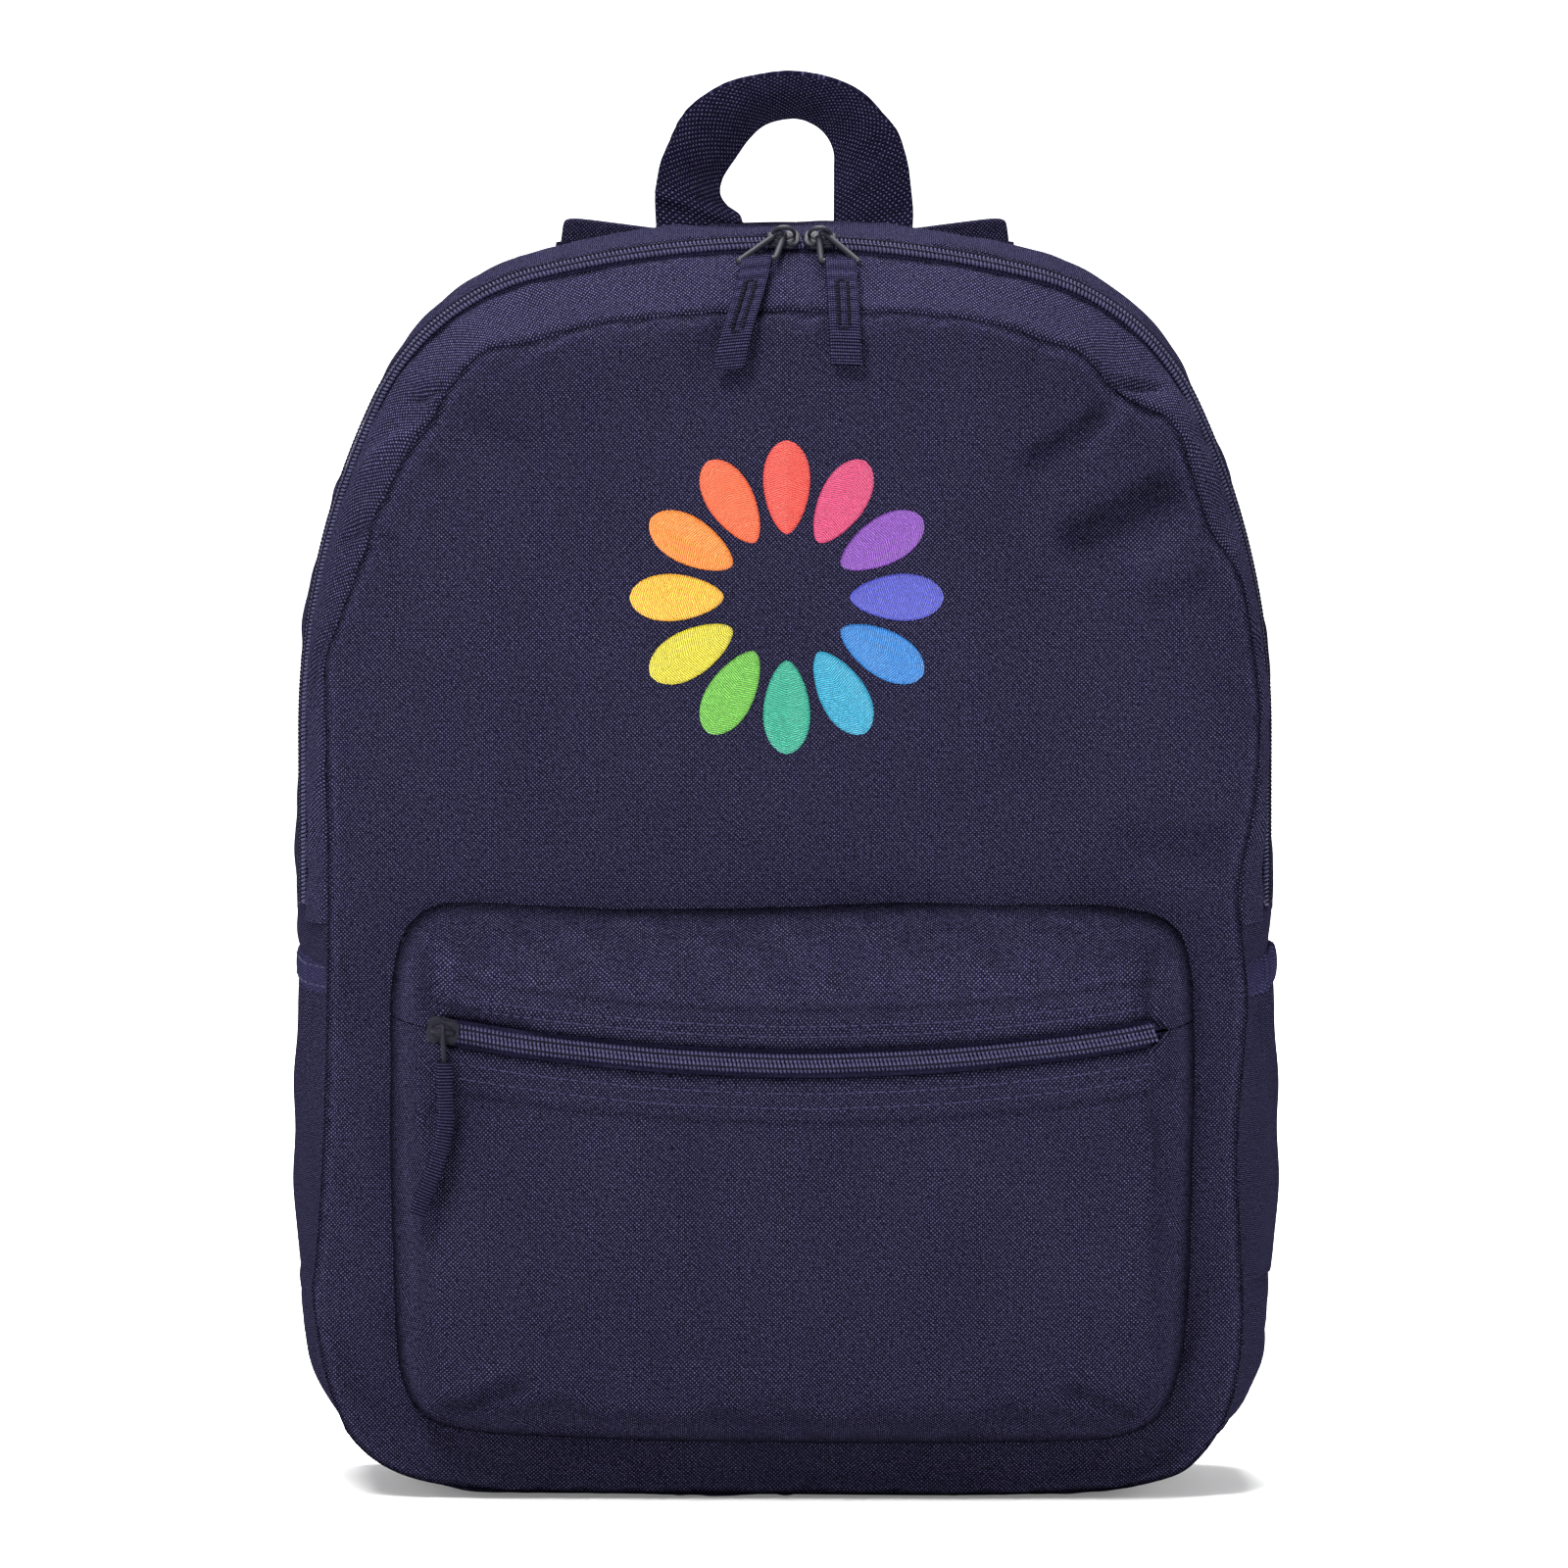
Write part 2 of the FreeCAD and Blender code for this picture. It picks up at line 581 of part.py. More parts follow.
def build_pocket():
    """A pocket that stands off the lower front: a sheet above its zip, one below, and two ends."""
    x, width, cloth = size("pocket_x"), size("pocket_width"), size("pocket_cloth")
    top, low, radius = size("pocket_top"), size("pocket_bottom"), size("pocket_zip_radius")
    back, zip_y, front = size("front_face_y") - size("gap"), size("pocket_zip_y"), size("pocket_front_y")
    centre = V(size("pocket_zip_x"), -130.0, size("pocket_zip_mid") + radius)
    shoulder = [(back, top), (back - 9.0, top - 4.0), (zip_y - 0.5, 172.0)]
    apron = [(front, 105.0), (front + 1.5, 40.0), (front + 8.0, low), (back, low + 6.0)]
    upper = pocket_prism(thicken(shoulder + [(zip_y - 0.8, 140.0)], -cloth), width - 4.0, x)
    lower = pocket_prism(thicken([(zip_y - 0.8, 162.0), (zip_y - 2.0, 146.0)] + apron, -cloth), width - 4.0, x)
    feature("pocket_upper_panel", upper.common(Part.makeCylinder(radius - 6.0, 60, centre, V(0, 1, 0))))
    feature("pocket_lower_panel", lower.cut(Part.makeCylinder(radius + 6.0, 60, centre, V(0, 1, 0))))
    profile = shoulder + [(zip_y - 0.8, 155.0), (zip_y - 2.0, 146.0)] + apron
    for name, sign in (("left", -1), ("right", 1)):
        feature("pocket_gusset_" + name, pocket_prism(profile, cloth, x + sign * (width / 2 - cloth)))


def build_pocket_zip():
    """The pocket's zip hangs in a shallow curve; both coils and tapes are parts of flat rings."""
    gap, wide, half, reach = size("coil_gap"), size("coil_width"), size("coil_height") / 2, size("pocket_zip_half")
    y, radius, thick = size("pocket_zip_y"), size("pocket_zip_radius"), size("tape_thick") / 2
    x, z = size("pocket_zip_x"), size("pocket_zip_mid") + radius
    edge, far = gap + wide, gap + wide + 7.0
    feature("pocket_zip_coil_upper", zip_ring(radius - edge, radius - gap, y - half, y + half, x, z, reach))
    feature("pocket_zip_coil_lower", zip_ring(radius + gap, radius + edge, y - half, y + half, x, z, reach))
    feature("pocket_zip_tape_upper", zip_ring(radius - far, radius - edge - 0.1, y - thick, y + thick, x, z, reach))
    feature("pocket_zip_tape_lower", zip_ring(radius + edge + 0.1, radius + far, y - thick, y + thick, x, z, reach))


def build_pocket_pull():
    """The pocket's slider waits at the left end; its ring and tab hang edge-on to the front."""
    radius, start = size("pocket_zip_radius"), size("pocket_slider_at") - size("pocket_zip_x")
    turn = math.asin(start / radius)
    seat = V(size("pocket_zip_x") + start, size("pocket_zip_y"),
             size("pocket_zip_mid") + radius - radius * math.cos(turn))
    along = V(math.cos(turn), 0, math.sin(turn))
    slider("pocket_slider", frame_from(seat, along * -1, V(along.z, 0, -along.x)), 1, True)
    rise = size("plate_gap") / 2 + size("plate_thick") + size("crown_height") - size("bridge_wall") / 2
    pivot = seat - V(0, rise, 0)
    hang = V(0.02, -0.36, -0.93).normalize()
    ring_puller("pocket_puller", frame_from(pivot, V(0, -1, 0) + hang * hang.y, hang))
    foot = pivot + hang * (size("puller_length") + 2.6)
    fall = V(-0.17, -0.07, -0.98).normalize()
    pull_tab("pocket_pull_tab", frame_from(foot, fall, V(1, 0, 0)), "pocket_tab")


build_pocket()
build_pocket_zip()
build_pocket_pull()

# ---------------------------------------------------------------- handle and its anchor patch

def build_handle():
    """A loop of webbing standing on the back's top seam, and the patch that holds its ends."""
    half, band_width, top = size("handle_half"), size("webbing"), size("handle_top")
    low = size("handle_pivot")
    centre = top - half
    inner = half - band_width
    inner_centre = centre + 11.0
    outer = [sketch_line(V(half, low, 0), V(half, centre, 0)),
             sketch_arc(V(half, centre, 0), V(0, top, 0), V(-half, centre, 0)),
             sketch_line(V(-half, centre, 0), V(-half, low, 0)),
             sketch_line(V(-half, low, 0), V(-inner, low, 0)),
             sketch_line(V(-inner, low, 0), V(-inner, inner_centre, 0)),
             sketch_arc(V(-inner, inner_centre, 0), V(0, inner_centre + inner, 0), V(inner, inner_centre, 0)),
             sketch_line(V(inner, inner_centre, 0), V(inner, low, 0)),
             sketch_line(V(inner, low, 0), V(half, low, 0))]
    plate("handle", "XZ_Plane", -size("handle_y"), outer, "Sizes.webbing_thick", True)
    patch = add_body("top_anchor_patch")
    sketch = rectangle_sketch(patch, "XZ_Plane", -(BACK_FACE + size("gap") + 2.0), "152", "26", 0.0, 395.0)
    add_pad(patch, sketch, "2")
    keep("top_anchor_patch", patch)
    for name, sign in (("left", -1), ("right", 1)):
        end = doc.addObject("Part::Box", "handle_end_" + name)
        end.setExpression("Length", "Sizes.webbing")
        end.setExpression("Width", "Sizes.webbing_thick")
        end.setExpression("Height", "Sizes.handle_pivot - 1.5 - 408.3")
        corner_x = sign * (half - band_width / 2) - band_width / 2
        end.Placement.Base = V(corner_x, size("handle_y") - size("webbing_thick") / 2, 408.3)
        keep("handle_end_" + name, end)


build_handle()

# ---------------------------------------------------------------- shoulder straps

def strap_frame(sign):
    """Local X runs down the line between the strap's two anchors; local Y points away from the back."""
    top = V(sign * size("strap_top_x"), size("strap_y"), size("strap_top_z"))
    low = V(sign * size("strap_low_x"), size("strap_y"), size("strap_low_z"))
    return frame_from(top, low - top, V(0, 1, 0)), (low - top).Length


def strap_arc(length, rise):
    radius = (length * length / 4 + rise * rise) / (2 * rise)
    return radius, V(length / 2, rise - radius, 0)


def strap_sector(radius, centre, offset, thickness, start, end):
    """A strip of the strap's bow between two distances from its top, as sketch curves."""
    def at(r, along):
        a = math.asin((along - centre.x) / radius)
        return V(centre.x + r * math.sin(a), centre.y + r * math.cos(a), 0)
    low, high, middle = radius + offset, radius + offset + thickness, (start + end) / 2.0
    return [sketch_arc(at(high, start), at(high, middle), at(high, end)), sketch_line(at(high, end), at(low, end)),
            sketch_arc(at(low, end), at(low, middle), at(low, start)), sketch_line(at(low, start), at(high, start))]


def strap_piece(node, frame, curves, width):
    body = add_body(node)
    sketch = add_sketch(body, "XY_Plane", 0.0, curves)
    add_pad(body, sketch, width, True)
    body.Placement = frame
    return keep(node, body)


def ladder_lock(node, frame, radius, centre, along):
    """A moulded buckle: a frame with two slots between its three bars."""
    a = math.asin((along - centre.x) / radius)
    length, width, thick = size("buckle_length"), size("buckle_width"), size("buckle_thick")
    body = add_body(node)
    sketch = rectangle_sketch(body, "XY_Plane", 0.0, "Sizes.buckle_length", "Sizes.buckle_width")
    pad = add_pad(body, sketch, "Sizes.buckle_thick", True)
    doc.recompute()
    slots = []
    for x in (-7.2, 4.8):
        slots += polygon([V(x - 3.0, -13.2, 0), V(x + 3.0, -13.2, 0), V(x + 3.0, 13.2, 0), V(x - 3.0, 13.2, 0)])
    cutter = add_sketch(body, "XY_Plane", thick, slots)
    pocket = body.newObject("PartDesign::Pocket", "pocket")
    pocket.Profile = cutter
    pocket.Type = 1
    pocket.Midplane = True
    body.Tip = pocket
    seat = V(centre.x + radius * math.sin(a), centre.y + radius * math.cos(a), 0)
    turn = FreeCAD.Rotation(V(0, 0, 1), -math.degrees(a)).multiply(FreeCAD.Rotation(V(1, 0, 0), 90))
    body.Placement = frame.multiply(FreeCAD.Placement(seat, turn))
    return keep(node, body)


def build_straps():
    """Each strap is a bowed pad, its buckle and its webbing, between a top base and a side anchor."""
    for name, sign in (("left", -1), ("right", 1)):
        frame, length = strap_frame(sign)
        radius, centre = strap_arc(length, size("strap_rise"))
        pad, inset = size("pad_thick"), size("foam_inset")
        start, end = size("pad_start"), size("pad_end")
        shell = strap_sector(radius, centre, -pad / 2, pad, start, end)
        hollow = strap_sector(radius, centre, -pad / 2 + inset, pad - 2 * inset, start + inset, end - inset)
        cover = add_body("strap_pad_" + name)
        add_pad(cover, add_sketch(cover, "XY_Plane", 0.0, shell), "Sizes.pad_width", True)
        core = add_body("strap_foam_" + name)
        add_pad(core, add_sketch(core, "XY_Plane", 0.0, hollow), "Sizes.pad_width - 2 * Sizes.foam_inset", True)
        room = add_body("strap_room_" + name)
        roomy = strap_sector(radius, centre, -pad / 2 + inset - 0.3, pad - 2 * inset + 0.6, start + inset - 0.3,
                             end - inset + 0.3)
        add_pad(room, add_sketch(room, "XY_Plane", 0.0, roomy), "Sizes.pad_width - 2 * Sizes.foam_inset + 0.6", True)
        case = doc.addObject("Part::Cut", "strap_case_" + name)
        case.Base, case.Tool = cover, room
        case.Placement = frame
        keep("strap_pad_" + name, case)
        core.Placement = frame
        keep("strap_foam_" + name, core)
        thick = size("strap_webbing_thick")
        loop_end = end + 9.0
        strap_piece("buckle_loop_" + name, frame, strap_sector(radius, centre, -0.6, 1.2, end + 0.3, loop_end),
                    "Sizes.webbing")
        ladder_lock("ladder_lock_" + name, frame, radius, centre, loop_end + size("buckle_length") / 2 + 0.3)
        web = strap_sector(radius, centre, -5.0 - thick, thick, loop_end + 2.0, length - 6.0)
        strap_piece("strap_webbing_" + name, frame, web, "Sizes.webbing")
        tail_start = loop_end + size("buckle_length") * 0.55
        a = math.asin((tail_start - centre.x) / radius)
        root = V(centre.x + (radius + 5.2) * math.sin(a), centre.y + (radius + 5.2) * math.cos(a), 0)
        tail = add_body("webbing_tail_" + name)
        tail_sketch = rectangle_sketch(tail, "XY_Plane", 0.0, "Sizes.tail_length", "Sizes.webbing",
                                       0.0, 0.0)
        add_pad(tail, tail_sketch, "Sizes.strap_webbing_thick", True)
        hang = V(sign * 0.12, 0.02, -1).normalize()
        start = frame.multVec(root)
        middle = start + hang * (size("tail_length") / 2)
        tail.Placement = frame_from(middle, hang, V(1, 0, 0))
        keep("webbing_tail_" + name, tail)


build_straps()


def build_anchors():
    """The strap's folded top end on the patch, and the cloth triangle in the side seam below."""
    for name, sign in (("left", -1), ("right", 1)):
        base = doc.addObject("Part::Box", "strap_base_" + name)
        base.setExpression("Length", "Sizes.pad_width")
        base.Width, base.Height = 5.0, 15.0
        turn = FreeCAD.Rotation(V(0, 1, 0), -7.4 * sign)
        corner = V(-size("pad_width") / 2, 0, -15.0)
        middle = V(sign * 46.0, size("handle_y") + size("webbing_thick") / 2 + size("gap"), 413.6)
        base.Placement = FreeCAD.Placement(middle + turn.multVec(corner), turn)
        keep("strap_base_" + name, base)
        low_x, low_z = size("strap_low_x"), size("strap_low_z")
        y0, y1 = BACK_FACE + size("gap"), BACK_FACE + size("gap") + 2.4
        tip = V(sign * (low_x + 14.4), y0, low_z)
        points = [V(sign * (low_x - 16.0), y0, low_z - 22.0), tip, V(sign * (low_x - 10.0), y0, low_z + 14.0)]
        face = Part.Face(Part.makePolygon(points + points[:1]))
        feature("strap_anchor_" + name, face.extrude(V(0, y1 - y0, 0)))


build_anchors()

# ---------------------------------------------------------------- embroidered badge

def build_badge():
    """A ring of plain petals, each one a raised patch of satin stitch on the front sheet."""
    count = int(size("petals"))
    low, high, half = size("petal_in"), size("petal_out"), size("petal_width") / 2
    face_y = size("front_face_y") - 0.05
    petal = Part.Wire([Part.Arc(V(0, 0, low), V(half, 0, (low + high) * 0.55), V(0, 0, high)).toShape(),
                       Part.Arc(V(0, 0, high), V(-half, 0, (low + high) * 0.55), V(0, 0, low)).toShape()])
    solid = Part.Face(petal).extrude(V(0, -size("badge_thick"), 0))
    ring = []
    for i in range(count):
        one = solid.copy()
        one.rotate(V(0, 0, 0), V(0, 1, 0), 360.0 * i / count)
        one.translate(V(0.6, face_y, size("badge_z")))
        ring.append(one)
    feature("embroidered_badge", Part.makeCompound(ring))


build_badge()

# ---------------------------------------------------------------- checks and export

doc.recompute()
faults = []
for obj in doc.Objects:
    if "Invalid" in obj.State or "Error" in obj.State:
        faults.append("%s is in state %s" % (obj.Name, obj.State))
for node, obj in PARTS.items():
    shape = obj.Shape
    if shape.isNull() or not shape.isValid() or not shape.Solids:
        faults.append("%s has no valid solid" % node)
    elif shape.Volume <= 0:
        faults.append("%s has no volume" % node)
if faults:
    raise SystemExit("\n".join(faults))
for old in os.listdir("parts"):
    if old.endswith(".step"):
        os.remove(os.path.join("parts", old))
for node, obj in PARTS.items():
    obj.Shape.exportStep(os.path.join("parts", node + ".step"))
print("wrote %d parts" % len(PARTS))
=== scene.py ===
"""School backpack: the looks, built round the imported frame. Lengths are millimetres until a mesh is made."""
import json
import math

import bpy
import numpy as np
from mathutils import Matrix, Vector
from mathutils.bvhtree import BVHTree

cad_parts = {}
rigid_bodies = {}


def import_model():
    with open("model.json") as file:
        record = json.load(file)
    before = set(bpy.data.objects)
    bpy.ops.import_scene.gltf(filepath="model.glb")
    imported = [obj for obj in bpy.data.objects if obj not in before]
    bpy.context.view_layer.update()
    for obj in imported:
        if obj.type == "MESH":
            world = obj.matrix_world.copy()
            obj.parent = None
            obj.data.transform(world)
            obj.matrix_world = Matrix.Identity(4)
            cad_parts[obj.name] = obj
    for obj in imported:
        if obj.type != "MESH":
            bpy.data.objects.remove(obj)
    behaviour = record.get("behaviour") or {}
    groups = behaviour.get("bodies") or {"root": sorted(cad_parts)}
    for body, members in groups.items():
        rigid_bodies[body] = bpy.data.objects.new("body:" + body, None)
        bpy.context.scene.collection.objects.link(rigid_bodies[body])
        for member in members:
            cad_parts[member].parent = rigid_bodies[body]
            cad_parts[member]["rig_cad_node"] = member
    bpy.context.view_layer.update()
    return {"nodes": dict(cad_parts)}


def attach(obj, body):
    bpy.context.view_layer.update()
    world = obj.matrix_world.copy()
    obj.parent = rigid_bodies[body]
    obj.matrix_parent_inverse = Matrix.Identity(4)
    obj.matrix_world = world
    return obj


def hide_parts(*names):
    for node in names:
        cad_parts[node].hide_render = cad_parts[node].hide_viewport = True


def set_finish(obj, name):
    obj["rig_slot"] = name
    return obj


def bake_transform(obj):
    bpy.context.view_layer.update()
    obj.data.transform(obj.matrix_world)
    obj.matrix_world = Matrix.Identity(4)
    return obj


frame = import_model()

# ---------------------------------------------------------------- numbers shared by several pieces

SEAM_Y, STRIP_FRONT_Y, STRIP_REAR_Y, REAR_Y, BACK_Y = -66.0, -43.6, -32.4, 10.0, 50.0
FOLD_Z = 200.0
SIDES = (("left", -1), ("right", 1))


# ---------------------------------------------------------------- small geometry helpers

def unit(v):
    v = np.asarray(v, float)
    return v / np.maximum(np.linalg.norm(v, axis=-1, keepdims=True), 1e-9)


def running(points, axis=0):
    """The distance run along one axis of a grid of points, from zero."""
    steps = np.linalg.norm(np.diff(points, axis=axis), axis=-1)
    return np.concatenate([np.zeros_like(np.take(steps, [0], axis)), np.cumsum(steps, axis)], axis)


def at(p, s):
    """Points of a polyline at shares s of its length."""
    p = np.asarray(p, float)
    d = running(p)
    return np.stack([np.interp(np.asarray(s) * d[-1], d, p[:, k]) for k in range(p.shape[1])], -1)


def even(p, n):
    return at(p, np.linspace(0, 1, n))


def same(v, n):
    """One vector, n times."""
    return np.tile(np.asarray(v, float), (n, 1))


def arc(cx, cz, r, a0, a1, n=40):
    """Points of an arc; angles in degrees from straight up towards +X."""
    a = np.radians(np.linspace(a0, a1, n))
    return np.stack([cx + r * np.sin(a), cz + r * np.cos(a)], 1)


def catmull(a, b, c, d, t):
    """A Catmull-Rom curve from b to c."""
    return 0.5 * (2 * b + (c - a) * t + (2 * a - 5 * b + 4 * c - d) * t ** 2
                  + (3 * b - a - 3 * c + d) * t ** 3)


def smooth_line(points, n=400):
    """A smooth curve through points, evenly spaced."""
    p = np.asarray(points, float)
    p = np.concatenate([[2 * p[0] - p[1]], p, [2 * p[-1] - p[-2]]])
    t = np.linspace(0, 1, 24, endpoint=False)[:, None]
    spans = [catmull(*p[i - 1: i + 3], t) for i in range(1, len(p) - 2)]
    return even(np.concatenate(spans + [p[-2:-1]]), n)


def finer(values, shape):
    """Resamples a coarse grid of values onto a finer grid of the given shape, smoothly."""
    def along(v, n):
        t = np.linspace(0, len(v) - 1, n)
        i = np.clip(t.astype(int), 0, len(v) - 2)
        return catmull(v[np.maximum(i - 1, 0)], v[i], v[i + 1], v[np.minimum(i + 2, len(v) - 1)],
                       (t - i).reshape(-1, 1, 1))
    return along(along(values, shape[0]).swapaxes(0, 1), shape[1]).swapaxes(0, 1)


def step(x, a, b):
    """A smooth step from 0 at a to 1 at b."""
    t = np.clip((np.asarray(x, float) - a) / (b - a), 0, 1)
    return t * t * (3 - 2 * t)


def bell(x, wide):
    """A smooth hump of height 1 at zero."""
    return np.exp(-(np.asarray(x) / wide) ** 2)


def fill(x, reach):
    """Rises from 0 at a seam towards 1, mostly within its reach."""
    return 1 - np.exp(-x / reach)


def ripple(x, z, size, seed, waves=9):
    """Smooth, repeatable unevenness of about one unit, with features of about that size."""
    rng = np.random.default_rng(seed)
    total = 0
    for _ in range(waves):
        a, k, f = rng.uniform(0, math.tau), math.tau / size * rng.uniform(0.55, 1.5), rng.uniform(0, math.tau)
        total = total + np.sin(k * (x * math.cos(a) + z * math.sin(a)) + f)
    return total / math.sqrt(waves)


def nearest(line, points):
    """Each point's squared distance to a polyline in a plane, and the line's share, 0 to 1, where that is."""
    steps = np.diff(line, axis=0)
    best, share = np.full(points.shape[:-1], 1e9), np.zeros(points.shape[:-1])
    for k, (a, d) in enumerate(zip(line, steps)):
        t = np.clip(((points - a) @ d) / max(d @ d, 1e-9), 0, 1)
        off = np.sum((points - a - t[..., None] * d) ** 2, -1)
        share = np.where(off < best, (k + t) / len(steps), share)
        best = np.minimum(best, off)
    return best, share


def distance_to(line, points):
    return np.sqrt(nearest(np.asarray(line, float), points)[0])


def creases(xz, folds):
    """Soft folds along lines: (points, width, height), a valley where the height is negative."""
    total = 0
    for points, wide, height in folds:
        off, share = nearest(smooth_line(points, 40), xz)
        fade = step(share, -0.02, 0.25) * (1 - step(share, 0.75, 1.02))
        total = total + 2.1 * height * np.exp(-off / (0.75 * wide) ** 2) * fade
    return total


# ---------------------------------------------------------------- meshes

def make_mesh(name, verts, faces, material, cloth=None):
    """An object from points in millimetres. cloth holds places in the flat cloth, then their tone: painted
    shade above zero, painted highlight below.
    """
    mesh = bpy.data.meshes.new(name)
    mesh.from_pydata((np.asarray(verts, float).reshape(-1, 3) / 1000.0).tolist(), [], faces)
    if cloth is not None:
        flat = np.zeros((len(mesh.vertices), 3), np.float32)
        flat[:, : cloth.shape[-1]] = cloth.reshape(-1, cloth.shape[-1])
        mesh.attributes.new("cloth", "FLOAT_VECTOR", "POINT").data.foreach_set("vector", flat.ravel())
    mesh.polygons.foreach_set("use_smooth", [True] * len(mesh.polygons))
    mesh.materials.append(material)
    obj = bpy.data.objects.new(name, mesh)
    bpy.context.scene.collection.objects.link(obj)
    return obj


def grid_faces(nu, nv, wrap_u=False, wrap_v=False, flip=False):
    i, j = np.meshgrid(np.arange(nu if wrap_u else nu - 1), np.arange(nv if wrap_v else nv - 1),
                       indexing="ij")
    a, b = i * nv + j, ((i + 1) % nu) * nv + j
    c, d = ((i + 1) % nu) * nv + (j + 1) % nv, i * nv + (j + 1) % nv
    return np.stack([a, d, c, b] if flip else [a, b, c, d], -1).reshape(-1, 4).tolist()


def tube_faces(nu, nv):
    """A closed tube of nu rings of nv points, capped at both ends."""
    last = [(nu - 1) * nv + j for j in reversed(range(nv))]
    return grid_faces(nu, nv, wrap_v=True) + [list(range(nv)), last]


def grid_mesh(name, points, material, cloth=None, thick=0.0, flip=False):
    """A sheet from an array of points (nu, nv, 3). thick adds a real thickness behind it."""
    obj = make_mesh(name, points, grid_faces(*points.shape[:2], flip=flip), material, cloth)
    if thick:
        solid = obj.modifiers.new("thickness", "SOLIDIFY")
        solid.thickness, solid.offset = thick / 1000.0, -1.0
        made = bpy.data.meshes.new_from_object(obj.evaluated_get(bpy.context.evaluated_depsgraph_get()))
        obj.modifiers.clear()
        obj.data = made
    return obj


def merged(parts):
    """Joins several (points, faces) into one."""
    faces, first = [], 0
    for v, f in parts:
        faces += [[k + first for k in q] for q in f]
        first += len(v)
    return np.concatenate([v for v, f in parts]), faces


def tie(obj, body, slot=None, *stands_for):
    """Says which body a piece rides on, its material's slot and the CAD pieces that it stands for."""
    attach(obj, body)
    if slot:
        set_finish(obj, slot)
    if stands_for:
        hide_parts(*stands_for)
    return obj


def sewn_sheet(piece, points, *on):
    """Works out the edges of the cells of a piece's points both ways, and keeps nothing."""
    a, b = points[1:, :-1] - points[:-1, :-1], points[:-1, 1:] - points[:-1, :-1]


def frames_along(path, up):
    """Tangent, across and normal at each point of a path; up is roughly the normal."""
    t = unit(np.gradient(path, axis=0))
    n = unit(up - t * np.sum(up * t, 1, keepdims=True))
    return t, np.cross(n, t), n


def rings(path, across, normal, radius, n, flat=1.0):
    """A ring of n points round each point of a path, wider across where flat is over 1."""
    q = np.linspace(0, math.tau, n, endpoint=False)[None, :, None]
    size = np.reshape(radius, (-1, 1, 1))
    return path[:, None] + size * (across[:, None] * np.cos(q) * flat + normal[:, None] * np.sin(q))


def rod(path, radius, up, n=12, flat=1.0):
    """A round or flattened wire along a path, with rounded ends: points and faces."""
    across, normal = frames_along(path, same(up, len(path)))[1:]
    size = np.full(len(path), float(radius))
    size[[0, -1]] *= 0.35
    return rings(path, across, normal, size, n, flat).reshape(-1, 3), tube_faces(len(path), n)


def sweep(name, path, up, section, material):
    """A section (points across, normal) carried along a path. The cloth runs along and round it."""
    across, normal = frames_along(path, up)[1:]
    section = np.broadcast_to(section, (len(path),) + np.shape(section)[-2:])
    pts = path[:, None] + across[:, None] * section[..., :1] + normal[:, None] * section[..., 1:]
    along = running(path)[:, None] + np.zeros(pts.shape[1])
    cloth = np.stack([section[..., 0], along, section[..., 1]], -1)
    return make_mesh(name, pts, tube_faces(*pts.shape[:2]), material, cloth)


def band_section(width, thick, n=13, edge=0.5):
    """A flat band's rounded section, counter-clockwise."""
    r = thick / 2
    flat = width / 2 - r * edge
    turn = np.array([0.6, 1.2, 1.8, 2.5])
    top = np.stack([np.linspace(flat, -flat, n), np.full(n, r)], 1)
    half = np.concatenate([top, np.stack([-flat - r * edge * np.sin(turn), r * np.cos(turn)], 1)])
    return np.concatenate([half, -half])


def rounded_box(centre, axes, size, power=4.0, n=18):
    """A superellipsoid block: points and faces."""
    def swell(wave):
        return np.sign(wave) * np.abs(wave) ** (2 / power)
    tilt, turn = np.meshgrid(np.linspace(-math.pi / 2, math.pi / 2, n),
                             np.linspace(-math.pi, math.pi, 2 * n, endpoint=False), indexing="ij")
    local = np.stack([swell(np.cos(tilt)) * swell(np.cos(turn)), swell(np.cos(tilt)) * swell(np.sin(turn)),
                      swell(np.sin(tilt))], -1).reshape(-1, 3) * np.array(size) / 2
    return local @ np.asarray(axes) + np.asarray(centre), grid_faces(n, 2 * n, wrap_v=True)


def plate_shape(outline, axes, origin, low, high, crown=0.0, bevel=0.35):
    """A plate from a plan outline with rounded edges and a slightly domed top: points and faces."""
    outline = np.asarray(outline, float)
    centre = outline.mean(0)
    levels = [(0.02, low), (1.0, low), (1.0, high - bevel), (1 - bevel * 0.12, high - bevel * 0.3),
              (0.9, high),
              (0.6, high + crown * 0.6), (0.3, high + crown * 0.9), (0.02, high + crown)]
    local = [np.concatenate([(outline - centre) * k + centre, np.full((len(outline), 1), h)], 1)
             for k, h in levels]
    return (np.concatenate(local) @ np.asarray(axes) + np.asarray(origin),
            grid_faces(len(levels), len(outline), wrap_v=True))


def surface_tree(obj):
    co = np.zeros(len(obj.data.vertices) * 3)
    obj.data.vertices.foreach_get("co", co)
    return BVHTree.FromPolygons(co.reshape(-1, 3).tolist(), [tuple(p.vertices) for p in obj.data.polygons])


def onto(tree, xz, lift=0.0, behind=False):
    """Points dropped from (x, z) onto a surface, from in front or from behind. Returns points and normals."""
    side = 1 if behind else -1
    hits, normals = [], []
    for x, z in xz:
        spot, normal, _, _ = tree.ray_cast(Vector((x / 1000, 0.2 * side, z / 1000)), Vector((0, -side, 0)))
        if spot is None:
            spot, normal, _, _ = tree.find_nearest(Vector((x / 1000, 0.09 * side, z / 1000)))
        hits.append([c * 1000 for c in spot])
        normals.append(list(-normal if normal.y * side < 0 else normal))
    return np.array(hits) + np.array(normals) * lift, np.array(normals)


# ---------------------------------------------------------------- materials

